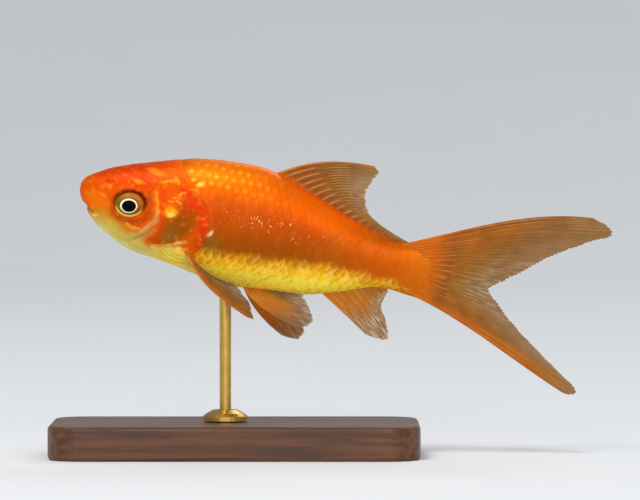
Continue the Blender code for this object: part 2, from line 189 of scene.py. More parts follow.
def in_oval(x, z, centre, radii, tilt=0.0):
    """A place from an oval's middle in side view, along and up, as shares of its radii."""
    dx, dz = x - centre[0], z - centre[1]
    along = dx * math.cos(tilt) + dz * math.sin(tilt)
    up = dz * math.cos(tilt) - dx * math.sin(tilt)
    return along / radii[0], up / radii[1]


def oval(x, z, centre, radii, tilt=0.0):
    """Distance from an oval's middle in side view, as a share of its radius."""
    return np.hypot(*in_oval(x, z, centre, radii, tilt))


def wobble(points, size, seed=0.0):
    """Smooth noise from -1 to 1 at points in mm, with bumps of the given size."""
    shift = Vector((seed, 2 * seed, 3 * seed))
    return np.array([noise.noise(Vector(p) / size + shift) for p in points])


def place_fish():
    """The matrix from the fish's frame, in mm, to the model's, with the eyes where they were."""
    turn = Matrix.Rotation(PITCH, 4, "Y")
    corners = [Vector(corner) for eye in ("eye_left", "eye_right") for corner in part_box(eye)]
    between_eyes = sum(corners, Vector()) / len(corners)
    origin = between_eyes - turn @ (Vector((EYE_CENTRE[0], 0.0, EYE_CENTRE[2])) * MM)
    return np.array(Matrix.Translation(origin) @ turn @ Matrix.Scale(MM, 4))


FISH = place_fish()


def fish_to_model(points):
    points = np.asarray(points, float).reshape(-1, 3)
    return points @ FISH[:3, :3].T + FISH[:3, 3]


# ---------------------------------------------------------------------------- the body's surface
class Body:
    """The body without fins. A place on it is a distance behind the snout and a share of the way
    down one side, from the back at 0 to the belly at 1."""

    def __init__(self, rings=420, side_steps=160):
        self.root = np.linspace(math.sqrt(SNOUT_TIP), math.sqrt(BODY_LENGTH), rings)
        x = self.root**2
        top, bottom = rounded_line(BACK_LINE, x), rounded_line(BELLY_LINE, x)
        half = rounded_line(HALF_WIDTH, x)
        middle = top + (bottom - top) * WIDEST
        angle = np.linspace(0, math.pi, 2 * side_steps + 1)
        out, up = np.sin(angle), np.cos(angle)
        upper = (up > 0)[None, :]
        power = np.where(upper, BACK_POWER, BELLY_POWER)
        reach = np.where(upper, (top - middle)[:, None], (middle - bottom)[:, None])
        y = half[:, None] * np.abs(out) ** power
        z = middle[:, None] + reach * np.sign(up) * np.abs(up) ** power
        steps = np.hypot(np.diff(y, axis=1), np.diff(z, axis=1))
        along = np.concatenate([np.zeros((rings, 1)), np.cumsum(steps, axis=1)], axis=1)
        self.half_girth = along[:, -1]
        share = np.linspace(0, 1, side_steps + 1)
        self.y = np.array([np.interp(share * a[-1], a, row) for a, row in zip(along, y)])
        self.z = np.array([np.interp(share * a[-1], a, row) for a, row in zip(along, z)])

    def girth_at(self, x):
        return np.interp(np.sqrt(x), self.root, self.half_girth)

    def point(self, x, share):
        """Points on the right side."""
        rings, steps = self.y.shape
        root = np.sqrt(np.clip(x, SNOUT_TIP, BODY_LENGTH))
        i = (root - self.root[0]) / (self.root[-1] - self.root[0]) * (rings - 1)
        j = np.clip(share, 0, 1) * (steps - 1)
        i0 = np.clip(i.astype(int), 0, rings - 2)
        j0 = np.clip(j.astype(int), 0, steps - 2)
        i, j = i - i0, j - j0

        def blend(grid):
            near = grid[i0, j0] * (1 - j) + grid[i0, j0 + 1] * j
            far = grid[i0 + 1, j0] * (1 - j) + grid[i0 + 1, j0 + 1] * j
            return near * (1 - i) + far * i

        return np.stack([root**2, blend(self.y), blend(self.z)], axis=-1)

    def normal(self, x, share):
        """Outward directions on the right side."""
        root = np.sqrt(np.clip(x, SNOUT_TIP, BODY_LENGTH))
        step = 0.02
        ahead = self.point((root + step) ** 2, share)
        behind = self.point(np.maximum(root - step, self.root[0]) ** 2, share)
        along = ahead - behind
        down = self.point(x, np.minimum(share + 0.01, 1)) - self.point(
            x, np.maximum(share - 0.01, 0)
        )
        out = np.cross(along, down)
        out[(share <= 0.001) | (share >= 0.999)] *= (1, 0, 1)
        return out / np.linalg.norm(out, axis=-1, keepdims=True)


BODY = Body()


# --------------------------------------------------------------------------------------- relief
def gill_angle(x, z):
    """Angle round the gill cover: 0 at its rear, positive above."""
    along, up = in_oval(x, z, GILL_CENTRE, GILL_RADII, PITCH)
    return np.arctan2(up, along)


def gill_share(x, z):
    return oval(x, z, GILL_CENTRE, GILL_RADII, PITCH)


def eye_share(x, z):
    return oval(x, z, (EYE_CENTRE[0], EYE_CENTRE[2]), EYE_OPENING, PITCH)


def scaled_area(x, z):
    """0 on the bare head, 1 where scales cover the skin."""
    past_nape = ease(-0.3, 0.3, x - through(NAPE_LINE, z))
    return past_nape * ease(1.0, 1.05, gill_share(x, z))


def beyond_head(x, z):
    """Roughly how many mm a place is behind the bare head."""
    return np.minimum(x - through(NAPE_LINE, z), (gill_share(x, z) - 1) * 6)


def mouth_offset(x, z):
    """Distance above the mouth's slit."""
    run, fall = MOUTH_CORNER[0] - MOUTH_START[0], MOUTH_CORNER[1] - MOUTH_START[1]
    line = MOUTH_START[1] + (x - MOUTH_START[0]) * fall / run
    return (z - line) * run / math.hypot(run, fall)


def relief(x, z):
    """Height of the skin over the body's plain surface, from its features in side view."""
    gill, angle = gill_share(x, z), gill_angle(x, z)
    free_edge = ease(-2.35, -1.75, angle) * ease(1.75, 1.25, angle)
    height = through(SOCKET, eye_share(x, z)) + through(GILL_PLATE, gill) * free_edge
    cheek_reach = ease(-8.6, -7.0, z) * ease(3.4, 2.2, z)
    height += through(CHEEK_RIDGE, x - through(CHEEK_EDGE, z)) * cheek_reach
    height += through(LIPS, mouth_offset(x, z)) * ease(5.4, 4.4, x)
    for pit_x, pit_z, radius in NOSTRILS:
        pit = ease(1.4, 0.3, oval(x, z, (pit_x, pit_z), (radius, radius)))
        height -= NOSTRIL_DEPTH * pit
    height += NOSTRIL_FLAP_HEIGHT * bell(oval(x, z, *NOSTRIL_FLAP))
    throat = ease(1.02, 1.08, gill) * ease(1.5, 1.3, gill)
    throat = throat * ease(-1.2, -1.6, angle) * ease(-2.9, -2.6, angle)
    height += THROAT_FOLD_HEIGHT * throat * np.cos(gill * 2 * math.pi / THROAT_FOLD_SPACING)
    return height - COAT * scaled_area(x, z)


# ------------------------------------------------------------------------------------- markings
CHIN_LINE = (
    (0.0, -3.4), (4.0, -4.1), (5.8, -3.6), (7.5, -3.8), (9.4, -4.8), (11.5, -5.6), (13.7, -5.9),
    (15.0, -6.5), (17.7, -7.7), (20.0, -7.6), (23.0, -7.0), (26.0, -8.6), (28.0, -10.2),
)
GOLD_LINE = (
    (23.0, -8.7), (27.0, -8.1), (33.0, -7.3), (40.0, -6.8), (46.0, -6.1), (52.0, -5.3),
    (58.0, -5.3), (63.0, -5.4), (67.5, -5.6), (72.0, -6.5),
)
# Soft strokes of colour in side view: strength, half width, and the paths that they follow
STROKES = {
    "cheek_streak": (0.85, 0.7, ((17.4, 3.2), (17.5, 0.6), (17.9, -2.0), (18.1, -4.6), (18.1, -7.2))),
    # painted shade: a dark red-brown band below and behind the eye
    "under_eye_shade": (0.9, 0.75, (
        (14.3, 2.0), (15.0, 0.4), (15.2, -1.2), (14.6, -2.9), (13.3, -3.9), (11.7, -4.25),
        (9.6, -3.8), (8.0, -2.7),
    )),
    "under_eye_gold": (0.85, 0.32, ((11.3, -4.75), (12.5, -5.05), (13.8, -4.95))),
    "gill_red": (1.0, 0.95, (
        (21.4, 4.5), (22.6, 3.8), (24.3, 2.5), (25.7, 1.2), (26.5, -0.3), (26.8, -2.5),
        (26.6, -4.5), (26.2, -6.7), (26.0, -8.6),
    )),
    "cheek_line": (0.8, 0.34, ((16.0, 2.8), (16.5, 0.8), (16.8, -0.8))),
    "cheek_edge": (0.9, 0.5, ((16.8, -1.2), (16.6, -2.8), (15.6, -4.4), (14.4, -5.6))),
    "gold_streak": (
        0.9, 0.3, ((16.4, 5.1), (18.0, 5.7), (19.9, 5.9)), ((19.0, 6.5), (19.5, 6.2), (19.9, 5.8)),
        ((20.5, 3.1), (21.0, 3.7), (21.7, 4.1)), ((22.7, 5.0), (23.3, 4.9), (23.9, 4.4)),
    ),
    "gill_lines": (
        0.5, 0.24, ((17.2, -7.9), (20.6, -7.2), (23.6, -5.8)),
        ((16.9, -8.5), (20.4, -7.9), (24.2, -6.8)), ((16.4, -9.0), (20.0, -8.5), (23.6, -7.7)),
        ((17.5, -9.6), (21.0, -9.2), (24.5, -8.7)),
    ),
}
# Soft ovals of colour in side view: strength, centre, radii and tilt of each
BLOTS = {
    # the snout's own orange, and painted highlights in small bright patches on the snout, over the eye
    # and on the crown
    "snout_orange_and_highlights": (
        (0.42, (4.5, -1.6), (3.2, 1.8), -0.3), (0.7, (5.3, 0.0), (1.0, 0.4)),
        (0.7, (11.6, 4.4), (1.2, 0.4)), (0.7, (6.2, 1.9), (0.6, 0.4)),
        (0.7, (14.6, 7.0), (1.9, 0.5)),
    ),
    "gill_shade": ((0.95, (29.0, -4.9), (2.5, 2.7)),),
    "cheek_silver": ((1.0, (14.4, -6.3), (3.4, 1.1), 0.5),),
    "gill_window": ((0.95, (21.9, -2.4), (6.0, 3.1), 1.03),),
    "gill_upper": ((0.85, (23.2, 1.0), (2.4, 1.7), 0.6),),
    "gill_dark": ((0.7, (20.2, -5.3), (2.2, 1.6), 0.8),),
    "gill_spot": (
        (1.0, (19.7, -0.2), (1.15, 1.05)), (1.0, (19.5, 2.5), (0.4, 0.15)),
        (1.0, (20.2, 1.9), (0.5, 0.16)), (1.0, (21.0, 1.85), (0.45, 0.15)),
        (1.0, (19.0, 1.6), (0.4, 0.16)),
    ),
    # painted highlights: gold glints on the nape, at the corner of the mouth and on the gill cover's spot
    "gold_highlights": (
        (0.95, (24.3, 6.45), (0.95, 0.45)), (0.95, (4.7, -4.45), (0.5, 0.36)),
        (0.6, (19.7, -0.8), (0.8, 0.6)),
    ),
    "shoulder_glint": ((0.9, (28.3, -2.75), (0.8, 0.26), 0.95),),
}
MOTTLED_MARKS = ("cheek_silver", "gill_spot", "cheek_edge", "gold_streak")

# Colours of the markings, laid on in this order over the orange
MARK_COLOURS = {
    # the back's own bright orange, partly painted light falling from above
    "back_orange_and_light": "#FF6A02",
    "back_gold": "#FF8408",
    "crown_red": "#CC3402",
    # the snout's orange, with painted highlights in small patches on the head
    "snout_orange_and_highlights": "#FF8814",
    # deeper orange down the flank: partly its own colour, partly painted shade
    "flank_deep_and_shade": "#AE4202",
    "flank_brown": "#9C4C04",
    "rear_brown": "#C05404",
    "gill_shade": "#8A5410",
    "belly_gold": "#FFC014",
    # the lower belly's paler gold: partly its own colour, partly painted light from below
    "belly_pale_and_lit": "#FFEC40",
    "chin_gold": "#C88E1E",
    "chin_pale": "#D8D068",
    "chin_edge": "#E4E090",
    "throat_gold": "#FFE04A",
    "cheek_silver": "#B8984C",
    "cheek_streak": "#DC4002",
    # painted shade below and behind the eye
    "under_eye_shade": "#B83E04",
    "under_eye_gold": "#F49A28",
    "gill_window": "#8C4604",
    "gill_upper": "#B43A02",
    "gill_dark": "#84601E",
    "gill_red": "#D43002",
    "gill_spot": "#FFB408",
    "cheek_line": "#F89428",
    "cheek_edge": "#CCA85C",
    "gold_streak": "#FFA428",
    # painted highlights
    "gold_highlights": "#FFE45C",
    "gill_lines": "#FFF080",
    "shoulder_glint": "#FFDCA0",
    "orbit_shade": "#701402",
    "mouth_shade": "#8A3C08",
    "tail_root": "#C4640A",
}


def drifted(x, z):
    """Places moved a little from side to side, so that no marking has a drawn edge."""
    across = 0.22 * np.sin(1.1 * x + 0.7 * z + 0.4) + 0.07 * np.sin(2.6 * x - 2.9 * z + 1.9)
    up = 0.22 * np.sin(0.9 * x - 1.3 * z + 2.2) + 0.07 * np.sin(3.1 * x + 2.3 * z + 0.7)
    return x + across, z + up


def blot(x, z, centre, radii, tilt=0.0):
    """A soft oval patch in side view."""
    return ease(1.5, 0.25, oval(x, z, centre, radii, tilt))


def down_side(x, z):
    """How far down the side a place is, from the back at 0 to the belly at 1."""
    top, bottom = rounded_line(BACK_LINE, x), rounded_line(BELLY_LINE, x)
    return (top - z) / (top - bottom)


def stroke(x, z, path, width):
    """A soft line along a path in side view."""
    path = smooth_path(path, 24)
    nearest = np.full(np.shape(x), 1e9)
    for (ax, az), (bx, bz) in zip(path, path[1:]):
        run_x, run_z = bx - ax, bz - az
        along = ((x - ax) * run_x + (z - az) * run_z) / (run_x**2 + run_z**2)
        along = np.clip(along, 0, 1)
        nearest = np.minimum(nearest, np.hypot(x - ax - along * run_x, z - az - along * run_z))
    return bell(nearest / width)


def markings(x, z):
    """How strongly each marking shows at points of the fish, from 0 to 1."""
    down = down_side(x, z)
    eye_edge = bell((eye_share(x, z) - 1.1) / 0.17)
    eye_angle = np.arctan2(z - EYE_CENTRE[2], x - EYE_CENTRE[0])
    lips = bell(mouth_offset(x, z) / 0.16) * ease(5.2, 4.6, x)
    x, z = drifted(x, z)
    chin = z - through(CHIN_LINE, x)
    gold = z - through(GOLD_LINE, x)
    head = ease(27.5, 24.0, x)
    past_nape = x - through(NAPE_LINE, z)
    marks = {
        # the top of the back brighter: partly its own orange, partly painted light from above
        "back_orange_and_light": 0.9 * ease(0.34, 0.14, down) * ease(27, 38, x) * ease(74, 62, x),
        "back_gold": 0.85 * ease(0.4, 0.1, down) * ease(-3.0, 5.0, past_nape) * ease(45, 29, x),
        "crown_red": 0.8 * ease(19, 11, x) * ease(0.5, 4.5, z) * ease(1.0, 5.0, x),
        # darker down the flank: partly the fish's own colour, partly painted shade of the side turned
        # from the light above
        "flank_deep_and_shade": 0.95 * ease(0.18, 0.4, down) * ease(24, 30, x) * ease(72, 58, x),
        "flank_brown": 0.9 * bell((gold - 2.8) / 3.0) * ease(26, 31, x) * ease(74, 54, x),
        "rear_brown": 0.9 * ease(46, 66, x) * ease(7.5, 3.0, z),
        "belly_gold": ease(2.5, -1.6, gold) * ease(24, 27, x) * ease(74, 69, x),
        # paler gold low on the belly: partly its own colour, partly painted light from below
        "belly_pale_and_lit": 0.85 * ease(-0.4, -3.0, gold) * ease(24, 27, x) * ease(72, 58, x),
        "chin_gold": 0.85 * ease(1.9, -0.4, chin) * ease(16, 10, x) * head,
        "chin_pale": ease(0.3, -2.2, chin) * (0.6 + 0.35 * ease(9, 16, x)) * head,
        "chin_edge": 0.8 * ease(1.5, 0.2, z - rounded_line(BELLY_LINE, x)) * ease(3.0, 6.0, x) * head,
        "throat_gold": 0.85 * ease(15.0, 21.0, x) * ease(0.9, -0.9, chin) * head,
        "orbit_shade": 0.95 * eye_edge * ease(-0.6, 0.6, np.sin(eye_angle - 0.1)),
        "mouth_shade": 0.3 * lips,
        "tail_root": 0.8 * ease(65, 73, x),
    }
    for name, (strength, width, *paths) in STROKES.items():
        marks[name] = strength * np.maximum.reduce([stroke(x, z, path, width) for path in paths])
    for name, blots in BLOTS.items():
        shown = [strength * blot(x, z, *shape) for strength, *shape in blots]
        marks[name] = np.maximum.reduce(shown)
    marks["gill_red"] *= 0.5 + 0.5 * ease(-7.5, -2.0, z)
    marks["gill_lines"] *= 0.7 + 0.3 * np.sin(x * 2.3 + z)
    for name in MOTTLED_MARKS:
        marks[name] *= 0.7 + 0.3 * np.sin(5.1 * x + 2.2 * z) * np.sin(4.7 * z - 1.9 * x)
    return marks


# ---------------------------------------------------------------------------------- making meshes
def new_object(name, mesh):
    made = bpy.data.objects.new(name, mesh)
    bpy.context.scene.collection.objects.link(made)
    return made


def new_mesh(name, points, faces, marks, bake_uv):
    """A mesh from points in the fish's frame, with a float attribute for each marking."""
    mesh = bpy.data.meshes.new(name)
    mesh.from_pydata(fish_to_model(points).tolist(), [], faces.tolist())
    for mark, strength in marks.items():
        values = np.clip(np.broadcast_to(strength, len(points)), 0, 1).astype(np.float32)
        mesh.attributes.new(mark, "FLOAT", "POINT").data.foreach_set("value", values)
    layer = mesh.uv_layers.new(name="OFBake")
    layer.data.foreach_set("uv", bake_uv.astype(np.float32).ravel())
    mesh.shade_smooth()
    mesh.validate()
    mesh.update()
    return new_object(name, mesh)


def shell_faces(rows, columns):
    """Quads of a closed thin shell: a grid of points stored row by row, the same grid again for
    its under side, and the rim between them."""
    count = rows * columns
    corner = (np.arange(rows - 1)[:, None] * columns + np.arange(columns - 1)).ravel()
    top = np.stack([corner, corner + 1, corner + columns + 1, corner + columns], axis=1)
    rim = np.concatenate([
        np.arange(columns),
        np.arange(1, rows) * columns + columns - 1,
        (rows - 1) * columns + np.arange(columns - 2, -1, -1),
        np.arange(rows - 2, 0, -1) * columns,
    ])
    after = np.roll(rim, -1)
    sides = np.stack([rim, rim + count, after + count, after], axis=1)
    return np.concatenate([top, top[:, ::-1] + count, sides])


def ring_faces(rings, around):
    """Quads from each of some rings of points to the next ring."""
    j = np.arange(around)
    start = np.array(rings)[:, None] * around
    corner, beside = (start + j).ravel(), (start + (j + 1) % around).ravel()
    return np.stack([corner, corner + around, beside + around, beside], axis=1)


def close_mesh(made, around=0, caps=(), smooth=False):
    """Drops loose points and turns all faces outwards. Before that it fills each ring of points
    in caps, given by its number and a place on the OFBake map, with one face."""
    mesh = bmesh.new()
    mesh.from_mesh(made.data)
    mesh.verts.ensure_lookup_table()
    uv = mesh.loops.layers.uv["OFBake"]
    for ring, place in caps:
        face = mesh.faces.new([mesh.verts[ring * around + j] for j in range(around)])
        face.smooth = smooth
        for loop in face.loops:
            loop[uv].uv = place
    loose = [point for point in mesh.verts if not point.link_faces]
    bmesh.ops.delete(mesh, geom=loose, context="VERTS")
    bmesh.ops.recalc_face_normals(mesh, faces=mesh.faces)
    mesh.to_mesh(made.data)
    mesh.free()


def unwrap_place(x, turn):
    """Where a place of the body lies on the skin's unwrap. Its turn goes from 0 at the back, down
    the right side to 0.5 at the belly, and up the left side to 1."""
    span = 1 - 2 * UNWRAP_EDGE
    return np.stack([UNWRAP_EDGE + span * x / BODY_LENGTH, UNWRAP_EDGE + span * turn], axis=-1)


def wrapped(x, share):
    """Points of the body and their outward directions. Shares past 0 and 1 are on the left side,
    and past its end the body goes on, narrower with each mm."""
    beyond = (share < 0) | (share > 1)
    share = np.where(share < 0, -share, np.where(share > 1, 2 - share, share))
    point, normal = BODY.point(x, share), BODY.normal(x, share)
    past_end = np.maximum(x - BODY_LENGTH, 0)
    point[..., 0] += past_end
    point[..., 1] *= 1 - NARROWING * past_end
    point[..., 1] = np.where(beyond, -point[..., 1], point[..., 1])
    normal[..., 1] = np.where(beyond, -normal[..., 1], normal[..., 1])
    return point, normal


def make_skin():
    """One closed skin over head, gill covers, trunk and tail stalk."""
    head = SNOUT_TIP + (HEAD_END - SNOUT_TIP) * np.linspace(0, 1, HEAD_RINGS) ** 1.25
    trunk = np.linspace(HEAD_END, BODY_LENGTH, TRUNK_RINGS + 1)[1:]
    x = np.concatenate([head, trunk])
    around = 2 * SIDE_STEPS
    j = np.arange(around)
    place, normal = wrapped(np.repeat(x, around), np.tile(j / SIDE_STEPS, len(x)))
    side_x, side_z = place[:, 0], place[:, 2]
    folds = sum(wobble(place, size, seed) * height for size, seed, height in SKIN_FOLDS)
    folds = folds * ease(29, 24, side_x) * ease(0.95, 1.2, eye_share(side_x, side_z))
    points = place + normal * (relief(side_x, side_z) + folds)[:, None]
    column = np.tile(j, len(x) - 1)
    row = np.repeat(np.arange(len(x) - 1), around)
    corners = ((row, column), (row + 1, column), (row + 1, column + 1), (row, column + 1))
    uv = np.stack([unwrap_place(x[ring], turn / around) for ring, turn in corners], axis=1)
    faces = ring_faces(range(len(x) - 1), around)
    skin = new_mesh("skin", points, faces, markings(side_x, side_z), uv)
    close_mesh(skin, around, caps=((0, (0.01, 0.5)), (len(x) - 1, (0.99, 0.5))))
    return skin


@dataclass(frozen=True)
class ScaleRoot:
    """A scale's place on the body. Its pore is 1 on the lateral line."""

    x: float
    share: float
    spacing: float
    row_spacing: float
    pore: float = 0.0


def scale_roots():
    """Where the scales of one side are rooted: rows along the body on both sides of the lateral
    line, each half a scale on from the next, that end where the back or the belly does."""
    roots = []
    columns = [SCALES_START]
    while columns[-1] < SCALES_END:
        columns.append(columns[-1] + float(through(SCALE_SPACING, columns[-1])))
    for x, following in zip(columns, columns[1:]):
        for row in range(-ROWS_EACH_WAY, ROWS_EACH_WAY + 1):
            at = x + (following - x) * 0.5 * (row % 2)
            row_spacing, girth = float(through(ROW_SPACING, at)), float(BODY.girth_at(at))
            share = LATERAL_LINE + row * row_spacing / girth
            if abs(share - 0.5) * girth < 0.5 * girth - ROW_MARGIN * row_spacing:
                roots.append(ScaleRoot(at, share, following - x, row_spacing, float(row == 0)))
    return roots


def ridge_roots():
    """The single rows down the middle of the back and of the belly."""
    return [
        ScaleRoot(root.x, share, root.spacing, root.row_spacing)
        for root in scale_roots()
        for share in (0.0, 1.0)
        if root.pore
    ]


def scale_outline(along):
    """Half the width of a scale at a share of its length: rounded at its free rear edge."""
    front = np.clip(along / 0.3, 0, 1)
    rear = np.clip((along - 0.42) / 0.58, 0, 1)
    return np.sqrt(np.clip(1 - 0.25 * (1 - front) ** 2 - rear**2.2, 0, 1))


def scale_lift(root, v, u, place, random):
    """How far the points of a scale stand out from the body, given along and across it."""
    crown = SCALE_CROWN * (1 - (u * scale_outline(v)) ** 2) * ease(0, 0.4, v)
    lift = COAT * (SCALE_ROOTED + SCALE_RISE * v) + crown
    lift = lift + random.normal(0, SCALE_UNEVEN) * v + random.normal(0, SCALE_TILT) * u * v
    lift = np.minimum(lift, COAT * SCALE_RISE)
    lift = lift - NAPE_TUCK * ease(1.6, 0.0, beyond_head(place[:, 0], place[:, 2]))
    lift = lift - TAIL_TUCK * ease(TAIL_TUCK_START, SCALED_END, place[:, 0])
    return lift + (RIDGE_LIFT if root.share in (0.0, 1.0) else 0)


def make_scales(name, side, roots, random):
    """Many scales as one mesh. Each is a thin closed shell, rooted in the skin, that rises to its
    free edge over the scale behind."""
    steps = SCALE_STEPS + 1
    along = 1 - (1 - np.linspace(0.0, 1, steps)) ** 1.6
    across = np.sin(np.linspace(-1, 1, steps) * math.pi / 2)
    v, u = (grid.ravel() for grid in np.meshgrid(along, across, indexing="ij"))
    aside = u * scale_outline(v)
    faces = shell_faces(steps, steps)
    if side < 0:
        faces = faces[:, ::-1]
    points, all_faces, uvs, drawn = [], [], [], []
    for root in roots:
        length = root.spacing * SCALE_LENGTH
        x = root.x + length * v
        tip = BODY.point(np.array([root.x + length * 0.8]), np.array([root.share]))
        if x.max() > SCALED_END or scaled_area(tip[:, 0], tip[:, 2])[0] < 0.5:
            continue
        lean = random.normal(0, SCALE_LEAN)
        girth = BODY.girth_at(np.clip(x, 0, BODY_LENGTH))
        half_width = root.row_spacing * SCALE_HALF_WIDTH
        share = root.share + (half_width * aside + lean * length * v) / girth
        place, normal = wrapped(x, share)
        lift = scale_lift(root, v, u, place, random)
        top = place + normal * lift[:, None]
        thick = SCALE_THICKNESS + SCALE_ROOT_THICKNESS * (1 - v)
        under = place + normal * (lift - thick)[:, None]
        all_faces.append(faces + len(points) * 2 * steps**2)
        points.append(np.concatenate([top, under]) * (1, side, 1))
        near = unwrap_place(root.x, root.share / 2 if side > 0 else 1 - root.share / 2)
        patch = near + np.stack([v - 0.5, aside / 2], axis=1) * PATCH
        uvs.append(np.tile(patch, (2, 1))[faces])
        drawn.append((random.random(), random.random(), root.pore))
    edge = np.where(v > 0.42, np.hypot((v - 0.42) / 0.58, aside), np.abs(aside))
    own = {"along": v, "across": aside * 0.5 + 0.5, "edge": edge}
    own = {mark: np.tile(values, 2 * len(points)) for mark, values in own.items()}
    for mark, values in zip(("tint", "shine", "pored"), np.transpose(drawn)):
        own[mark] = np.repeat(values, 2 * steps**2)
    points = np.concatenate(points)
    marks = scale_marks(points[:, 0], points[:, 2], own)
    made = new_mesh(name, points, np.concatenate(all_faces), marks, np.concatenate(uvs))
    made.data.set_sharp_from_angle(angle=SCALE_SHARP_EDGE)
    return made


def scale_marks(x, z, own):
    """The markings as they show on scales, each with its own tint; belly scales add painted light and
    shade.
    """
    marks = markings(x, z)
    down = down_side(x, z)
    along, edge, tint, shine = own["along"], own["edge"], own["tint"], own["shine"]
    bare_part = ease(0.5, 0.95, along)
    # gold runs up the flank on the free edges first
    gold = marks["belly_gold"]
    gold = np.clip(gold + (bare_part * (0.7 + 0.6 * shine) - 0.55) * 1.6 * gold * (1 - gold), 0, 1)
    marks.update({
        "belly_gold": gold,
        # painted shade where each belly scale runs under the one in front, and painted highlights on its
        # free edge
        "belly_scale_shade": 0.22 * gold * (1 - bare_part) * (0.5 + 0.5 * tint),
        "belly_edge_highlight": 0.32 * gold * ease(0.72, 0.98, edge) * (0.1 + 0.9 * shine),
        "pale_scale": 0.035 * ease(0.3, 1.0, tint),
        "dark_scale": 0.03 * ease(0.5, 0.0, tint),
        "dark_edge": 0.06 * ease(0.75, 1.0, edge) * (1 - gold),
        # painted highlights: a gold dot on each scale of the back
        "gold_dot_highlights": ease(0.3, 0.2, down) * ease(46, 30, x) * (0.15 + 0.75 * shine),
        "sparkles": blot(x, z, (41.5, 1.3), (13.5, 2.6), 0.03) * ease(0.3, 0.9, shine),
        "canal": own["pored"] * ease(0.55, 0.66, along) * ease(0.97, 0.86, along),
        # no two painted gold highlights sit quite alike on their scales
        "along": along + 0.1 * (shine - 0.5),
        "across": own["across"] + 0.2 * (tint - 0.5),
        "edge": edge,
    })
    return marks


# ----------------------------------------------------------------------------------------- fins
@dataclass(frozen=True)
class Fin:
    """A fin as its base and margin, in side view for a middle fin and in its own plane for a
    paired one. Its rays are bowed, and the sheet sweeps and cups out of its plane."""

    base: tuple
    margin: tuple
    rays: int
    first_bow: float = 0.0
    middle_bow: float = 0.0
    last_bow: float = 0.0
    bow_skew: float = 0.0
    sweep: float = 0.0
    cup: float = 0.0


DORSAL = Fin(
    base=((38.0, 11.6), (52.0, 6.8), (67.8, 3.0)),
    margin=(
        (58.4, 18.1), (59.5, 17.5), (59.6, 16.6), (59.0, 15.2), (58.4, 13.8), (58.4, 12.0),
        (58.7, 10.4), (59.5, 8.5), (61.2, 7.1), (64.4, 5.7), (69.2, 4.3),
    ),
    rays=17, first_bow=1.85, middle_bow=0.3, last_bow=0.2, bow_skew=0.1, sweep=0.6,
)
ANAL = Fin(
    base=((52.2, -9.2), (60.0, -6.2), (66.2, -5.0)),
    margin=((64.4, -16.3), (66.8, -16.7), (69.1, -15.9), (67.5, -12.1), (66.2, -10.1), (66.6, -6.6)),
    rays=9, first_bow=0.1,
)
TAIL_UPPER = Fin(
    base=((66.5, 3.4), (70.5, 1.8), (72.0, -0.85)),
    margin=(
        (104.6, 17.7), (107.2, 17.3), (109.1, 16.5), (109.8, 15.5), (109.0, 14.5), (105.0, 12.4),
        (97.7, 7.5), (92.4, 2.8), (87.3, -1.1),
    ),
    rays=10, first_bow=1.75, bow_skew=-0.6, sweep=3.0,
)
TAIL_LOWER = Fin(
    base=((72.0, -1.15), (70.5, -3.6), (66.0, -5.2)),
    margin=(
        (87.2, -1.5), (90.3, -4.5), (95.2, -8.4), (104.9, -14.8), (108.8, -17.1), (109.6, -18.4),
        (108.6, -19.2), (106.6, -18.9),
    ),
    rays=10, last_bow=1.2, bow_skew=0.9, sweep=3.0,
)
PELVIC = Fin(
    base=((-1.2, 0.5), (1.6, 0.8), (4.8, 1.0)),
    margin=(
        (10.4, -7.7), (12.2, -8.2), (13.9, -7.9), (15.4, -6.4), (15.3, -4.4), (13.5, -1.4),
        (12.1, 0.6),
    ),
    rays=10, first_bow=-1.1, sweep=0.8,
)
PECTORAL = Fin(
    base=((-0.6, -0.6), (-0.6, 0.3), (-0.2, 1.2)),
    margin=((17.2, -0.5), (19.6, 0.4), (20.0, 2.6), (15.8, 5.9), (10.5, 7.4), (5.5, 5.4)),
    rays=13, first_bow=-0.9, sweep=-0.8, cup=-1.6,
)
PELVIC_ROOT = (37.8, 1.0, -11.9)
PELVIC_FLARE = {"left": math.radians(41), "right": math.radians(34)}
PELVIC_DROOP = {"left": 0.0, "right": math.radians(13)}
PECTORAL_ROOT = (24.6, 4.9, -7.2)
PECTORAL_ALONG = {"left": (16.2, 7.5, -10.1), "right": (17.0, 7.5, -4.5)}
PECTORAL_ACROSS = {"left": (0.05, -0.95, 0.32), "right": (0.2, -0.25, 0.95)}
SIDES = {"left": -1, "right": 1}
RAY_COLUMNS = 20  # points across one ray and its web
FIN_ROWS = 84
FIN_ROOT = 0.05  # how far a fin goes into the body, as a share of its length
FIRST_SPLIT = (0.32, 0.5)  # where each ray splits in two, as shares of its length
SECOND_SPLIT = (0.66, 0.82)
RAY_JOINT = 0.85  # length of one joint of a ray
WEB_THICKNESS = 0.05
RAY_THICKNESS = 0.05  # at the tips, over the web
RAY_TAPER = 0.13  # added to it at the roots
SPINE_THICKNESS = 0.22  # of the outermost rays, over the others
FLESHY_ROOT = 0.5  # thickness of the flesh at the root of a fin
FLESHY_TAIL_ROOT = 1.35
TAIL_FLESH = 79.0  # x where the flesh over the root of the tail fin ends
WEB_WEAR = 0.34  # how far the web is worn back between the tips of the rays
TIP_WEAR = 0.45  # how much shorter one ray may end than the next
MARGIN_WEAR = 0.3  # the same in long waves along the margin
FIN_SEED = 31


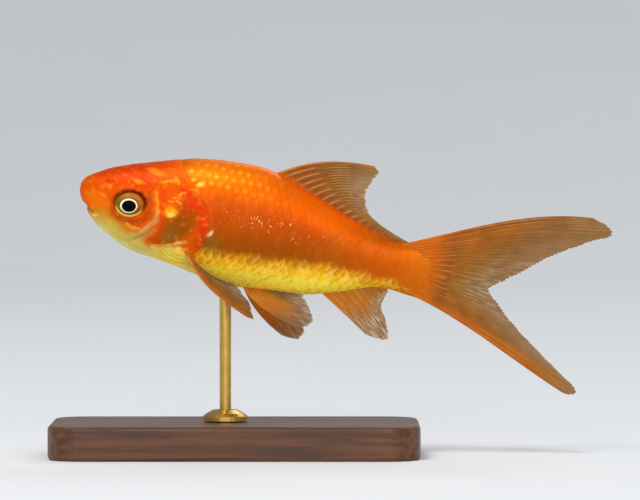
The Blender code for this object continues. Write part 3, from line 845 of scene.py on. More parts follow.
def ray_ridges(count, spread, reach):
    """1 on the fin's rays and 0 between them. Each ray splits in two and then in four."""
    whole = 0.5 + 0.5 * np.cos(2 * math.pi * count * spread)
    halves = 0.5 - 0.5 * np.cos(4 * math.pi * count * spread)
    quarters = 0.5 + 0.5 * np.cos(8 * math.pi * count * spread + math.pi)
    split, again = ease(*FIRST_SPLIT, reach), ease(*SECOND_SPLIT, reach)
    ridge = whole * (1 - split) + halves * split
    ridge = ridge * (1 - again) + quarters * again
    return ridge**1.6


def fin_lines(fin, columns):
    """The base, the margin, the bow of the rays and the skew of that bow across a fin."""
    spread = np.linspace(0, 1, columns)
    bow = fin.first_bow + (fin.last_bow - fin.first_bow) * spread
    bow = bow + fin.middle_bow * 4 * spread * (1 - spread)
    skew = np.full(columns, fin.bow_skew)
    return smooth_path(fin.base, columns), smooth_path(fin.margin, columns), bow, skew


def joined_lines(upper, lower, columns):
    """The lines of two lobes that share the ray between them."""
    first = fin_lines(upper, columns // 2 + 1)
    second = fin_lines(lower, columns // 2 + 1)
    lines = []
    for over, under in zip(first, second):
        under = under.copy()
        under[0] = (over[-1] + under[0]) / 2
        lines.append(np.concatenate([over[:-1], under]))
    return lines


def worn_reach(rays, spread, length, random):
    """How far the web reaches at places across a fin, as a share of its length there."""
    tips = ray_ridges(rays, spread, 1.0)
    uneven = np.interp(spread * rays * 4, np.arange(rays * 4 + 2), random.random(rays * 4 + 2))
    slow = np.interp(spread * 9, np.arange(11), random.random(11))
    worn = WEB_WEAR * (1 - tips) + TIP_WEAR * uneven + MARGIN_WEAR * slow
    worn = worn / np.maximum(length, 6.0)
    return 1 - worn * ease(0.0, 0.03, spread) * ease(1.0, 0.97, spread)


def fin_faces(fin, side, random, lower=None):
    """Both faces of a fin in its own plane, the strength of its rays there, the marks that its
    shape gives and the number of columns. A tail fin has a lower lobe too."""
    rays = fin.rays + (lower.rays if lower else 0)
    columns = rays * RAY_COLUMNS + 1
    spread = np.linspace(0, 1, columns)
    base, margin, bow, skew = joined_lines(fin, lower, columns) if lower else fin_lines(fin, columns)
    run = margin - base
    length = np.linalg.norm(run, axis=1)
    t = np.linspace(-FIN_ROOT, 1, FIN_ROWS)[:, None] * worn_reach(rays, spread, length, random)
    u = np.broadcast_to(spread, t.shape)
    shown = np.clip(t, 0, 1)
    arch = np.stack([-run[:, 1], run[:, 0]], axis=1) / length[:, None]
    middle = 4 * t * (1 - t)
    bend = bow * middle * (1 + skew * (1 - 2 * t))
    flat = base + run * t[..., None] + arch * bend[..., None]
    # soft waves across the web, stronger towards the margin
    wave = 0.28 * np.sin(u * 9.0 + t * 2.2 + fin.rays) + 0.16 * np.sin(u * 23.0 - t * 3.0)
    wave = wave * t * t * ease(0, 0.1, u) * ease(1, 0.9, u)
    out = side * (fin.sweep * t * t + fin.cup * middle + wave)
    ridge = ray_ridges(rays, u, t)
    if lower:
        fleshy = ease(TAIL_FLESH, 73.5, flat[..., 0])
        flesh = FLESHY_TAIL_ROOT * ease(TAIL_FLESH, 72.5, flat[..., 0])
    else:
        fleshy = ease(0.16, 0.02, t)
        flesh = FLESHY_ROOT * np.exp(-np.maximum(t, 0) * 9)
    # the last short rays of a fin are slight
    slight = 0.5 + 0.5 * ease(2.0, 6.0, length)
    thick = (RAY_THICKNESS + RAY_TAPER * (1 - t)) * (0.25 + 0.75 * ridge) * slight
    thick = thick + flesh + WEB_THICKNESS
    thick = thick * (0.35 + 0.65 * ease(0.0, 0.02, u) * ease(1.0, 0.98, u))
    # the outermost rays of a fin are the strongest
    spine = bell((u - 0.012) / 0.014) + (bell((u - 0.988) / 0.014) if lower else 0)
    spine = spine * (1 - 0.75 * shown)
    half = (thick + SPINE_THICKNESS * spine) / 2
    joints = 0.5 + 0.5 * np.cos(shown * length * 2 * math.pi / RAY_JOINT)
    faces = [np.stack([flat[..., 0], y, flat[..., 1]], axis=-1) for y in (out + half, out - half)]
    ray = np.clip(ridge * slight + spine, 0, 1)
    marks = {"reach": shown, "spread": u, "joint": joints * ridge, "fleshy": fleshy}
    marks = {mark: values.ravel() for mark, values in marks.items()}
    return np.reshape(faces, (-1, 3)), ray.ravel(), marks, columns


def make_fin(name, fin, marks_of, random, placed=None, side=1, lower=None):
    """One fin as a closed thin sheet with its rays standing proud on both faces."""
    points, ray, marks, columns = fin_faces(fin, side, random, lower)
    reach = marks["reach"]
    marks.update({mark: 0.0 for mark in FIN_COLOURS if mark not in marks})
    marks.update(marks_of(marks["spread"], reach))
    marks["pale_rays"] = marks["pale_rays"] * ray**3
    # the web lets light through, less so on its rays, at its root and where it glows
    marks["solid"] = 0.78 + 0.2 * ray + 0.3 * ease(0.7, 0.0, reach) + 0.3 * marks["ember"]
    marks["solid"] = marks["solid"] - 0.12 * ease(0.9, 1.0, reach)
    if placed is not None:
        points = points @ placed[:3, :3].T + placed[:3, 3]
    faces = shell_faces(FIN_ROWS, columns)
    # one face fills the first half of the map, with the rim, and the other face the second
    plan = np.stack([marks["spread"], reach], axis=1) * (0.47, 0.96)
    uv = np.concatenate([plan + (0.01, 0.02), plan + (0.52, 0.02)])[faces]
    rim = 2 * (FIN_ROWS - 1) * (columns - 1)
    uv[rim:, :, 0] = np.minimum(uv[rim:, :, 0], 0.49)
    both = {mark: np.tile(np.broadcast_to(values, len(ray)), 2) for mark, values in marks.items()}
    made = new_mesh(name, points, faces, both, uv)
    close_mesh(made)
    return made


def turned_frame(root, along, across):
    """The matrix of a paired fin's own frame: x along the first ray, z across the fin."""
    x_axis = np.array(along, float) / np.linalg.norm(along)
    y_axis = np.cross(np.array(across, float), x_axis)
    y_axis /= np.linalg.norm(y_axis)
    placed = np.eye(4)
    placed[:3, 0], placed[:3, 1], placed[:3, 2] = x_axis, y_axis, np.cross(x_axis, y_axis)
    placed[:3, 3] = root
    return placed


def tail_upper_marks(spread, reach):
    trailing = ease(0.5, 1.0, reach) * (0.45 + 0.55 * ease(0.15, 0.6, spread))
    return {
        "ember": 0.6 * ease(0.75, 0.05, reach) + 0.2 * ease(0.25, 0.0, spread) * ease(1.0, 0.6, reach),
        "olive": 0.45 * ease(0.35, 0.8, spread) * ease(0.15, 0.5, reach) * ease(1.0, 0.7, reach),
        "mauve": 0.85 * trailing,
        "web_light_streaks": 0.42 * ease(0.55, 0.95, spread) * ease(0.4, 0.9, reach),
        "pale_rays": 0.3,
    }


def tail_lower_marks(spread, reach):
    lower_edge = ease(0.6, 1.0, spread)
    return {
        "ember": np.clip(0.5 * ease(0.6, 0.05, reach) + 0.85 * lower_edge * ease(1.0, 0.72, reach), 0, 1),
        "olive": 0.45 * ease(0.65, 0.25, spread) * ease(0.15, 0.5, reach) * ease(1.0, 0.7, reach),
        "mauve": 0.9 * ease(0.55, 0.95, reach) * ease(1.0, 0.7, spread),
        "web_light_streaks": 0.42 * ease(0.45, 0.05, spread) * ease(0.4, 0.9, reach),
        "pale_rays": 0.3,
    }


def tail_marks(spread, reach):
    upper = tail_upper_marks(np.minimum(spread * 2, 1), reach)
    lower = tail_lower_marks(np.maximum(spread * 2 - 1, 0), reach)
    return {mark: np.where(spread < 0.5, upper[mark], lower[mark]) for mark in upper}


def dorsal_marks(spread, reach):
    return {
        "ember": 0.6 * ease(0.5, 0.0, reach) + 0.6 * ease(0.04, 0.0, spread),
        "olive": 0.45 * ease(0.1, 0.5, spread) * ease(0.1, 0.5, reach),
        "mauve": 0.9 * ease(0.03, 0.16, spread) * ease(0.45, 0.95, reach),
        "web_light_streaks": 0.3 * ease(0.1, 0.4, spread) * ease(0.5, 1.0, reach),
        "smudge": 0.85 * bell((spread - 0.01) / 0.025) * bell((reach - 0.62) / 0.08),
        "pale_rays": 0.5,
    }


def anal_marks(spread, reach):
    return {
        "ember": 0.7 * ease(0.9, 0.1, reach) * ease(0.9, 0.1, spread),
        "gilt": 0.6 * ease(0.75, 0.0, reach),
        "olive": 0.3 * ease(0.3, 0.8, spread),
        "mauve": 0.5 * ease(0.5, 0.95, reach) * (0.5 + 0.5 * ease(0.1, 0.6, spread)),
        "web_light_streaks": ease(0.3, 0.75, reach),
        "pale_rays": 0.35,
    }


def pelvic_marks(spread, reach):
    return {
        "ember": 0.9 * ease(0.95, 0.35, reach) * ease(0.95, 0.4, spread),
        "gilt": 0.45 * ease(0.8, 0.0, reach),
        "olive": 0.2 * ease(0.3, 0.8, spread),
        "mauve": 0.8 * ease(0.5, 0.9, np.maximum(reach * 0.9, spread)),
        "web_light_streaks": 0.8 * ease(0.5, 0.95, reach) * ease(0.1, 0.6, spread),
        "pale_rays": 0.4,
    }


def pectoral_marks(spread, reach):
    return {
        "ember": 0.95 * ease(0.5, 0.05, spread) * ease(1.1, 0.8, reach) + 0.5 * ease(0.25, 0.0, reach),
        "olive": 0.2 * ease(0.3, 0.7, spread),
        "mauve": 0.95 * ease(0.3, 0.75, spread) * ease(0.15, 0.5, reach),
        "web_light_streaks": 0.6 * ease(0.4, 0.8, spread) * ease(0.5, 0.9, reach),
        "pale_rays": 0.4,
    }


def make_fins():
    """All fins, each under the names of the solids that it stands for."""
    random = np.random.default_rng(FIN_SEED)
    made = {}
    for name, fin, marks_of in (("dorsal_fin", DORSAL, dorsal_marks), ("anal_fin", ANAL, anal_marks)):
        made[(name,)] = make_fin(name + "_web", fin, marks_of, random)
    lobes = ("tail_fin_upper", "tail_fin_lower")
    made[lobes] = make_fin("tail_fin_web", TAIL_UPPER, tail_marks, random, lower=TAIL_LOWER)
    for side_name, side in SIDES.items():
        droop, flare = PELVIC_DROOP[side_name], PELVIC_FLARE[side_name]
        mirror = np.array([1, side, 1])
        pelvic_frame = turned_frame(
            PELVIC_ROOT * mirror,
            (math.cos(droop), 0, -math.sin(droop)),
            (0, -side * math.sin(flare), math.cos(flare)),
        )
        pectoral_frame = turned_frame(
            PECTORAL_ROOT * mirror,
            PECTORAL_ALONG[side_name] * mirror,
            PECTORAL_ACROSS[side_name] * mirror,
        )
        for name, fin, marks_of, placed in (
            ("pelvic_fin_" + side_name, PELVIC, pelvic_marks, pelvic_frame),
            ("pectoral_fin_" + side_name, PECTORAL, pectoral_marks, pectoral_frame),
        ):
            made[(name,)] = make_fin(name + "_web", fin, marks_of, random, placed, side)
    return made


# ----------------------------------------------------------------------------------------- eyes
PUPIL_CENTRE = (-0.1, -0.35)  # from the eye's middle, in side view
PUPIL_RADII = (1.44, 1.18)
LENS_BULGE = 0.1
IRIS_DIP = 0.1
EYE_BACK = 0.55  # depth of the eyeball behind its rim, as a share of that in front
EYE_RINGS = 90  # from its middle to its rim, in front and behind
EYE_STEPS = 160  # round it


def make_eye(name, side):
    """An eyeball with a bulging lens, a sloping iris and a rim that goes down into the socket."""
    r = np.sin(np.linspace(0, math.pi / 2, EYE_RINGS))
    front = np.concatenate([r, r[-2::-1]])[:, None]
    depth = np.concatenate([np.sqrt(1 - r**2), -EYE_BACK * np.sqrt(1 - r[-2::-1] ** 2)])[:, None]
    turn = np.linspace(0, 2 * math.pi, EYE_STEPS, endpoint=False)
    dx = EYE_RADII[0] * front * np.cos(turn)
    dz = EYE_RADII[2] * front * np.sin(turn)
    pupil = oval(dx, dz, PUPIL_CENTRE, PUPIL_RADII, PITCH)
    bulge = LENS_BULGE * ease(1.02, 0.6, pupil) - IRIS_DIP * bell((pupil - 1.5) / 0.3)
    out = EYE_CENTRE[1] + EYE_RADII[1] * depth + np.where(depth > 0, bulge, 0)
    points = np.stack([EYE_CENTRE[0] + dx, side * out, EYE_CENTRE[2] + dz], axis=-1).reshape(-1, 3)
    angle = np.arctan2(dz - PUPIL_CENTRE[1], dx - PUPIL_CENTRE[0]) + PITCH
    streaks = 0.5 + 0.5 * np.sin(angle * 17 + 2.4 * np.sin(angle * 5) + dx * 2.0)
    up, back = np.sin(angle), np.cos(angle)
    opening = oval(dx, dz, (0, 0), EYE_OPENING, PITCH)
    ring_edge = 1.25 - 0.05 * back + 0.04 * up - 0.04 * streaks
    marks = {
        "iris_rear": 0.85 * ease(-0.2, 0.9, back) * ease(-0.8, 0.2, up),
        "iris_top": ease(0.0, 0.8, up) * (0.35 + 0.65 * streaks),
        "iris_streak": 0.45 * streaks * ease(1.3, 1.6, pupil),
        # the iris's pale lower rim: partly its own gold, partly painted light
        "iris_lit_rim": ease(0.1, -0.45, up - 0.35 * back) * bell((opening - 0.93) / 0.08),
        "iris_dark": 0.75 * bell((pupil - 1.42) / 0.13) * (0.3 + 0.7 * ease(0.2, 0.8, up)),
        # painted shadow of the socket's rim on the top of the eyeball
        "socket_shadow": 0.85 * ease(0.86, 0.98, opening) * ease(-0.3, 0.6, up),
        "pupil_ring": ease(0.98, 1.03, pupil) * ease(0.07, -0.03, pupil - ring_edge),
        "pupil": ease(1.04, 0.98, pupil),
    }
    marks = {mark: values.ravel() for mark, values in marks.items()}
    last = len(front) - 2
    faces = ring_faces(range(1, last), EYE_STEPS)
    uv = 0.5 + 0.45 * np.stack([front * np.cos(turn), front * np.sin(turn)], axis=-1)
    made = new_mesh(name, points, faces, marks, uv.reshape(-1, 2)[faces])
    close_mesh(made, EYE_STEPS, caps=((1, (0.5, 0.5)), (last, (0.5, 0.5))), smooth=True)
    return made


# ------------------------------------------------------------------------------------ materials
FACTOR, BELOW, OVER = 0, 6, 7  # the inputs of a Mix node for colours
SLANT = math.radians(38)  # of the strokes of light on the belly

# What skin, scales and fins share: soft tissue under a film of water
WET_FILM = {"IOR": 1.4, "Coat IOR": 1.34, "Coat Roughness": 0.15}

# Colours of the marks of scales, fins and eyes, laid on in this order
SCALE_COLOURS = {
    # painted shade and painted highlights on the scales of the belly
    "belly_scale_shade": "#D08A0C",
    "belly_edge_highlight": "#FFF07C",
    "pale_scale": "#FFA638",
    "dark_scale": "#7A3204",
    "dark_edge": "#7A3406",
}
FIN_COLOURS = {
    "ember": "#A6560A",
    "gilt": "#D8921A",
    "olive": "#846428",
    "mauve": "#6C5F50",
    "smudge": "#35241C",
    "pale_rays": "#D8A868",
    "fleshy": "#CC6C0E",
}
EYE_COLOURS = {
    "iris_rear": "#98500C",
    "iris_top": "#E4802E",
    "iris_streak": "#6B5416",
    # partly painted light on the iris's lower rim
    "iris_lit_rim": "#F4D660",
    "iris_dark": "#33260A",
    # painted shadow of the socket's rim
    "socket_shadow": "#561402",
    "pupil_ring": "#F8E4C4",
    "pupil": "#030303",
}


def colour(code):
    """The linear colour of an sRGB hex code."""
    parts = [int(code[i:i + 2], 16) / 255 for i in (1, 3, 5)]
    return (*[p / 12.92 if p <= 0.04045 else ((p + 0.055) / 1.055) ** 2.4 for p in parts], 1.0)


def add(tree, kind, inputs=None, **settings):
    """A new node with its settings. Each input is a value, or the node or socket that feeds it."""
    node = tree.nodes.new("ShaderNode" + kind)
    for name, value in settings.items():
        setattr(node, name, value)
    for key, value in (inputs or {}).items():
        if isinstance(value, bpy.types.Node):
            value = next(socket for socket in value.outputs if socket.enabled)
        if isinstance(value, bpy.types.NodeSocket):
            tree.links.new(value, node.inputs[key])
        else:
            node.inputs[key].default_value = value
    return node


def make_material(paint):
    """A material named for the function that paints it, which gives the shader's inputs."""
    material = bpy.data.materials.new(paint.__name__)
    material.use_nodes = True
    tree = material.node_tree
    tree.nodes.clear()
    place = add(tree, "TexCoord").outputs["Object"]
    surface = add(tree, "BsdfPrincipled", paint(tree, place))
    add(tree, "OutputMaterial", {"Surface": surface})
    return material


def lay_markings(tree, shade, colours, pattern, ragged):
    """Lays colours over a shade, each as strong as its mark on the mesh. A pattern makes their
    edges ragged, up to the given amount."""
    edge = add(tree, "MapRange", {"Value": pattern, "To Min": -ragged, "To Max": ragged})
    for name, code in colours.items():
        strength = add(tree, "Attribute", attribute_name=name).outputs["Fac"]
        rest = add(tree, "Math", {0: 1.0, 1: strength}, operation="SUBTRACT")
        change = add(tree, "Math", {0: rest, 1: edge, 2: 1.0}, operation="MULTIPLY_ADD")
        amount = add(tree, "Math", {0: strength, 1: change}, operation="MULTIPLY", use_clamp=True)
        mixed = {FACTOR: amount, BELOW: shade, OVER: colour(code)}
        shade = add(tree, "Mix", mixed, data_type="RGBA")
    return shade


def flesh_colour(tree, place):
    """The orange of the fish with its markings."""
    broad = add(tree, "TexNoise", {"Vector": place, "Scale": 1 / (6 * MM), "Detail": 3.0})
    oranges = {FACTOR: broad, BELOW: colour("#CE4402"), OVER: colour("#E65E02")}
    orange = add(tree, "Mix", oranges, data_type="RGBA")
    patches = add(tree, "TexNoise", {"Vector": place, "Scale": 1 / (1.4 * MM), "Detail": 3.0})
    return lay_markings(tree, orange, MARK_COLOURS, patches, 0.8)


def lay_details(tree, shade, details):
    """Lays colours over a shade. Each shows where a pattern passes from one value to another, up
    to a strength, and only as strong as its mark on the mesh where it has one."""
    for pattern, start, full, strength, mark, code, ramp in details:
        limits = {"Value": pattern, "From Min": start, "From Max": full, "To Max": strength}
        amount = add(tree, "MapRange", limits, interpolation_type=ramp)
        if mark is not None:
            amount = add(tree, "Math", {0: amount, 1: mark}, operation="MULTIPLY")
        mixed = {FACTOR: amount, BELOW: shade, OVER: colour(code)}
        shade = add(tree, "Mix", mixed, data_type="RGBA")
    return shade


def wet_goldfish_skin(tree, place):
    """Living fish skin, bare, thin and wet over a silver layer. It gives the head a smooth soft
    sheen, gold mottling and faint pores."""
    shade = flesh_colour(tree, place)
    mottling = add(tree, "TexNoise", {"Vector": place, "Scale": 1 / (1.1 * MM), "Detail": 3.0})
    shade = lay_details(tree, shade, [(mottling, 0.5, 0.75, 0.3, None, "#FF9A20", "SMOOTHSTEP")])
    pores = add(tree, "TexNoise", {"Vector": place, "Scale": 1 / (0.3 * MM), "Detail": 2.0})
    bump = add(tree, "Bump", {"Height": pores, "Strength": 0.08, "Distance": 0.05 * MM})
    sheen = {"Value": mottling, "From Min": 0.3, "From Max": 0.7, "To Min": 0.38, "To Max": 0.52}
    return {
        **WET_FILM, "Base Color": shade, "Roughness": add(tree, "MapRange", sheen),
        "Metallic": 0.25, "Specular IOR Level": 0.05, "Coat Weight": 0.025,
        "Subsurface Weight": 0.05, "Subsurface Radius": (1.0, 0.35, 0.12),
        "Subsurface Scale": 0.5 * MM, "Normal": bump,
    }


def metallic_goldfish_scale(tree, place):
    """Cycloid scales: thin bony discs, backed by guanine that mirrors light. They give a metallic
    orange with fine growth rings, painted gold highlights on the back and a few painted sparkles."""
    patchy = add(tree, "TexNoise", {"Vector": place, "Scale": 1 / (0.7 * MM), "Detail": 3.0})
    shade = lay_markings(tree, flesh_colour(tree, place), SCALE_COLOURS, patchy, 1.2)
    names = ("along", "across", "edge", "belly_gold", "gold_dot_highlights", "sparkles", "canal")
    marks = {name: add(tree, "Attribute", attribute_name=name).outputs["Fac"] for name in names}
    # distance from the middle of the bare part, where a painted gold highlight sits on each scale of the
    # back
    aside = add(tree, "Math", {0: marks["across"], 1: 6.0, 2: -3.0}, operation="MULTIPLY_ADD")
    onward = add(tree, "Math", {0: marks["along"], 1: 5.0, 2: -3.9}, operation="MULTIPLY_ADD")
    uneven = add(tree, "MapRange", {"Value": patchy, "To Min": -0.7, "To Max": 0.7})
    from_dot = add(tree, "CombineXYZ", {"X": aside, "Y": onward, "Z": uneven})
    away = add(tree, "VectorMath", {0: from_dot}, operation="LENGTH").outputs["Value"]
    # each scale of the lateral line has a short canal down its middle
    beside = add(tree, "Math", {0: aside}, operation="ABSOLUTE")
    # scales that happen to face the light
    upright = add(tree, "Mapping", {"Vector": place, "Scale": (1.0, 1.0, 0.5)})
    glint = add(tree, "TexNoise", {"Vector": upright, "Scale": 1 / (0.34 * MM), "Detail": 1.0})
    # light caught in slanting strokes along the edges of the belly's scales
    slanting = add(tree, "Mapping", {"Vector": place, "Rotation": (0.0, SLANT, 0.0)})
    drawn = add(tree, "Mapping", {"Vector": slanting, "Scale": (0.2, 1.0, 1.0)})
    strokes = add(tree, "TexNoise", {"Vector": drawn, "Scale": 1 / (0.6 * MM), "Detail": 1.0})
    shade = lay_details(tree, shade, [
        (away, 0.95, 0.2, 1.0, marks["gold_dot_highlights"], "#FFA828", "SMOOTHSTEP"),
        (beside, 0.45, 0.15, 0.2, marks["canal"], "#9A3F06", "LINEAR"),
        (glint, 0.64, 0.74, 0.9, marks["sparkles"], "#FFCC80", "LINEAR"),
        (strokes, 0.55, 0.7, 0.4, marks["belly_gold"], "#FFF07C", "LINEAR"),
        (strokes, 0.46, 0.32, 0.4, marks["belly_gold"], "#CC860C", "LINEAR"),
    ])
    # growth rings are 0.05 mm apart and drawn at 0.3 mm, so that they show
    turns = add(tree, "Math", {0: marks["edge"], 1: 40.0}, operation="MULTIPLY")
    rings = add(tree, "Math", {0: turns}, operation="SINE")
    fine = add(tree, "TexNoise", {"Vector": place, "Scale": 1 / (0.35 * MM), "Detail": 3.0})
    height = add(tree, "Math", {0: rings, 1: 0.2, 2: fine}, operation="MULTIPLY_ADD")
    bump = add(tree, "Bump", {"Height": height, "Strength": 0.05, "Distance": 0.05 * MM})
    sheen = {"Value": patchy, "From Min": 0.3, "From Max": 0.7, "To Min": 0.34, "To Max": 0.46}
    metal = add(tree, "MapRange", {"Value": marks["belly_gold"], "To Min": 0.45, "To Max": 0.15})
    return {
        **WET_FILM, "Base Color": shade, "Roughness": add(tree, "MapRange", sheen),
        "Metallic": metal, "Specular IOR Level": 0.06, "Coat Weight": 0.02, "Normal": bump,
    }


def rayed_fin_web(tree, place):
    """Fin web: a film of wet skin over jointed bony rays. The rays show pale and glossy, and the
    film between them is thin enough to see through and greyer towards its margin, with pale
    streaks of painted light."""
    names = ("reach", "spread", "web_light_streaks", "solid", "joint")
    marks = {name: add(tree, "Attribute", attribute_name=name).outputs["Fac"] for name in names}
    cloud = add(tree, "TexNoise", {"Vector": place, "Scale": 1 / (3 * MM), "Detail": 4.0})
    browns = {FACTOR: cloud, BELOW: colour("#60400E"), OVER: colour("#784F14")}
    shade = add(tree, "Mix", browns, data_type="RGBA")
    shade = lay_markings(tree, shade, FIN_COLOURS, cloud, 1.2)
    # the streaks follow the rays, many across the fin and few along it
    plan = add(tree, "CombineXYZ", {"X": marks["spread"], "Y": marks["reach"]})
    lengthways = add(tree, "Mapping", {"Vector": plan, "Scale": (90.0, 5.0, 1.0)})
    streaks = add(tree, "TexNoise", {"Vector": lengthways, "Scale": 1.0, "Detail": 3.0})
    shadow = add(tree, "MapRange", {"Value": streaks, "From Min": 0.6, "From Max": 0.4, "To Max": 0.3})
    shaded = {FACTOR: shadow, BELOW: shade, OVER: colour("#4E2E0C")}
    shade = add(tree, "Mix", shaded, data_type="RGBA", blend_type="SOFT_LIGHT")
    # painted light: pale streaks over the thin web
    web_light_streaks = (streaks, 0.48, 0.66, 0.8, marks["web_light_streaks"], "#D2CCC0", "LINEAR")
    shade = lay_details(tree, shade, [web_light_streaks])
    fine = add(tree, "TexNoise", {"Vector": place, "Scale": 1 / (0.5 * MM), "Detail": 3.0})
    height = add(tree, "Math", {0: marks["joint"], 1: 0.4, 2: fine}, operation="MULTIPLY_ADD")
    bump = add(tree, "Bump", {"Height": height, "Strength": 0.25, "Distance": 0.05 * MM})
    rough = add(tree, "MapRange", {"Value": cloud, "To Min": 0.3, "To Max": 0.55})
    return {
        **WET_FILM, "Base Color": shade, "Roughness": rough, "Specular IOR Level": 0.1,
        "Coat Weight": 0.03, "Subsurface Weight": 0.65, "Subsurface Radius": (1.0, 0.5, 0.2),
        "Subsurface Scale": 1.0 * MM, "Alpha": marks["solid"], "Normal": bump,
    }


def glass_fish_eye(tree, place):
    """Blown glass eye, painted behind a clear dome: a deep black lens, a cream ring and a streaked
    gold iris under one hard, wet gloss."""
    grain = add(tree, "TexNoise", {"Vector": place, "Scale": 1 / (0.4 * MM), "Detail": 4.0})
    olives = {FACTOR: grain, BELOW: colour("#644E10"), OVER: colour("#8A6E1E")}
    shade = add(tree, "Mix", olives, data_type="RGBA")
    return {
        "Base Color": lay_markings(tree, shade, EYE_COLOURS, grain, 1.2), "Roughness": 0.35,
        "IOR": 1.4, "Specular IOR Level": 0.02, "Coat Weight": 0.12, "Coat Roughness": 0.03,
        "Coat IOR": 1.33,
    }


def satin_walnut(tree, place):
    """American walnut, planed, sanded and rubbed with satin lacquer: warm brown with straight grain
    along its length, open pores and a soft gloss."""
    broad = add(tree, "Mapping", {"Vector": place, "Scale": (0.12, 1.0, 1.0)})
    figure = add(tree, "TexNoise", {"Vector": broad, "Scale": 1 / (14 * MM), "Detail": 3.0})
    narrow = add(tree, "Mapping", {"Vector": place, "Scale": (0.05, 1.0, 1.0)})
    grain = add(tree, "TexNoise", {"Vector": narrow, "Scale": 1 / (1.6 * MM), "Detail": 4.0})
    pores = add(tree, "TexNoise", {"Vector": narrow, "Scale": 1 / (0.5 * MM), "Detail": 2.0})
    pore = add(tree, "MapRange", {"Value": pores, "From Min": 0.62, "From Max": 0.72, "To Max": 0.7})
    browns = {FACTOR: figure, BELOW: colour("#4C2C18"), OVER: colour("#7A4A28")}
    shade = add(tree, "Mix", browns, data_type="RGBA")
    shade = lay_details(tree, shade, [(grain, 0.4, 0.65, 0.6, None, "#2E1A10", "SMOOTHSTEP")])
    pored = {FACTOR: pore, BELOW: shade, OVER: colour("#1E110A")}
    shade = add(tree, "Mix", pored, data_type="RGBA")
    depth = add(tree, "Math", {0: 1.0, 1: pore}, operation="SUBTRACT")
    bump = add(tree, "Bump", {"Height": depth, "Strength": 0.25, "Distance": 0.05 * MM})
    rough = add(tree, "MapRange", {"Value": grain, "To Min": 0.34, "To Max": 0.52})
    return {
        "Base Color": shade, "Roughness": rough, "IOR": 1.5, "Specular IOR Level": 0.35,
        "Coat Weight": 0.12, "Coat Roughness": 0.25, "Normal": bump,
    }


def brushed_brass(tree, place):
    """Brass, turned and brushed round: warm yellow metal with fine rings of scratches and slight
    dulling."""
    dull = add(tree, "TexNoise", {"Vector": place, "Scale": 1 / (3 * MM), "Detail": 3.0})
    # scratches are 0.05 mm apart and drawn at 0.4 mm, so that they show
    around = add(tree, "Mapping", {"Vector": place, "Scale": (0.1, 0.1, 1.0)})
    scratches = add(tree, "TexNoise", {"Vector": around, "Scale": 1 / (0.4 * MM), "Detail": 2.0})
    yellows = {FACTOR: dull, BELOW: colour("#DDB862"), OVER: colour("#AE8840")}
    shade = add(tree, "Mix", yellows, data_type="RGBA")
    bump = add(tree, "Bump", {"Height": scratches, "Strength": 0.2, "Distance": 0.03 * MM})
    rough = add(tree, "MapRange", {"Value": scratches, "To Min": 0.16, "To Max": 0.46})
    return {"Base Color": shade, "Metallic": 1.0, "Roughness": rough, "Normal": bump}


def pale_paper_sweep(tree, place):
    """Matt paper, rolled out as a sweep: almost even, with a faint cloudiness."""
    cloud = add(tree, "TexNoise", {"Vector": place, "Scale": 1 / (60 * MM), "Detail": 3.0})
    greys = {FACTOR: cloud, BELOW: colour("#EEF0F2"), OVER: colour("#F2F4F6")}
    shade = add(tree, "Mix", greys, data_type="RGBA")
    return {"Base Color": shade, "Roughness": 0.9, "Specular IOR Level": 0.1}


# ---------------------------------------------------------------------------------- the studio
VIEW_CENTRE = (0.0175, 0.0, 0.0424)
VIEW_WIDTH = 0.1318  # across the view, at the fish
VIEW_DISTANCE = 1.0
VIEW_RISE = math.radians(1.5)
LAMP_AIM = (0.015, 0.0, 0.045)
# Place, size and watts of each lamp
LAMPS = {
    "key_lamp": ((-0.35, -0.65, 1.3), (0.6, 0.5), 10.5),
    "back_lamp": ((0.5, 1.1, 1.1), (0.8, 0.5), 3.5),
    "low_lamp": ((0.1, -1.5, 0.5), (1.6, 0.5), 9.5),
}
ROOM_WHITE = "#F4F6F8"
ROOM_BRIGHTNESS = 0.4
FLAT_FLOOR = 1.0  # radius
FLAT_RINGS = 12
FLOOR_CURVE = 1.6  # radius of the turn into the wall
CURVE_RINGS = 24
FLOOR_STEPS = 96  # round it


def aimed(made, place, target):
    """Puts a camera or a lamp in its place, looking at a target."""
    made.location = place
    made.rotation_euler = (Vector(target) - Vector(place)).to_track_quat("-Z", "Y").to_euler()


def make_camera():
    camera = bpy.data.cameras.new("camera")
    camera.sensor_width = 36
    camera.lens = camera.sensor_width * VIEW_DISTANCE / VIEW_WIDTH
    camera.clip_start = 0.01
    mounted = new_object("camera", camera)
    away = Vector((0, -math.cos(VIEW_RISE), math.sin(VIEW_RISE))) * VIEW_DISTANCE
    aimed(mounted, Vector(VIEW_CENTRE) + away, VIEW_CENTRE)
    bpy.context.scene.camera = mounted


def make_lamps():
    for name, (place, size, watts) in LAMPS.items():
        lamp = bpy.data.lights.new(name, "AREA")
        lamp.shape = "RECTANGLE"
        lamp.size, lamp.size_y = size
        lamp.energy = watts
        mounted = new_object(name, lamp)
        aimed(mounted, place, LAMP_AIM)
        mounted.visible_camera = False


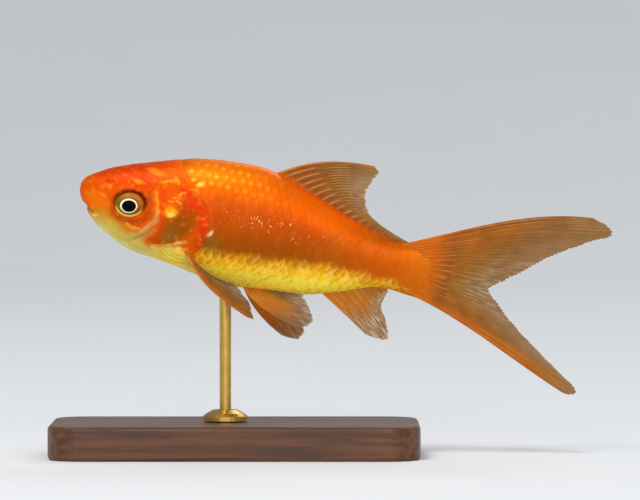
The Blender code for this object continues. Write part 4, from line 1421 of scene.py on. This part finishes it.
def make_floor():
    """A pale sheet that turns up into a low wall all round."""
    profile = [(r, 0.0) for r in np.linspace(0.01, FLAT_FLOOR, FLAT_RINGS)]
    for turned in np.linspace(0.05, 0.95, CURVE_RINGS):
        out, up = math.sin(turned), 1 - math.cos(turned)
        profile.append((FLAT_FLOOR + FLOOR_CURVE * out, FLOOR_CURVE * up))
    angles = np.linspace(0, 2 * math.pi, FLOOR_STEPS, endpoint=False)
    points = [(r * math.cos(a), r * math.sin(a), h) for r, h in profile for a in angles]
    faces = ring_faces(range(len(profile) - 1), FLOOR_STEPS).tolist()
    mesh = bpy.data.meshes.new("floor")
    mesh.from_pydata(points, [], [list(range(FLOOR_STEPS)), *faces])
    mesh.shade_smooth()
    mesh.materials.append(make_material(pale_paper_sweep))
    floor = new_object("floor", mesh)


def make_studio():
    world = bpy.data.worlds.new("studio")
    world.use_nodes = True
    background = world.node_tree.nodes["Background"]
    background.inputs["Color"].default_value = colour(ROOM_WHITE)
    background.inputs["Strength"].default_value = ROOM_BRIGHTNESS
    bpy.context.scene.world = world
    bpy.context.scene.view_settings.view_transform = "Standard"
    make_lamps()
    make_floor()
    make_camera()


# ------------------------------------------------------------------------------------ the model
def dress(piece, nodes, material):
    piece.data.materials.append(material)
    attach(piece, "root")
    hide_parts(*nodes)


def repaint(node_name, material):
    """Gives a solid of the stand its finish."""
    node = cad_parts[node_name]
    if not node.material_slots:
        node.data.materials.append(None)
    for slot in node.material_slots:
        slot.link = "OBJECT"
        slot.material = material


def build():
    flesh = ("head", "lower_jaw", "gill_cover_left", "gill_cover_right", "trunk", "tail_stalk")
    dress(make_skin(), flesh, make_material(wet_goldfish_skin))
    random = np.random.default_rng(SCALE_SEED)
    scales = [
        make_scales("scales_" + side_name, side, scale_roots(), random)
        for side_name, side in SIDES.items()
    ]
    scales.append(make_scales("scales_middle", 1, ridge_roots(), random))
    scale = make_material(metallic_goldfish_scale)
    for made in scales:
        dress(made, ("trunk", "tail_stalk"), scale)
    web = make_material(rayed_fin_web)
    for nodes, made in make_fins().items():
        dress(made, nodes, web)
    eye = make_material(glass_fish_eye)
    for side_name, side in SIDES.items():
        node_name = "eye_" + side_name
        dress(make_eye("glass_" + node_name, side), (node_name,), eye)
    repaint("stand_base", make_material(satin_walnut))
    brass = make_material(brushed_brass)
    repaint("stand_rod", brass)
    repaint("stand_collar", brass)
    make_studio()


build()
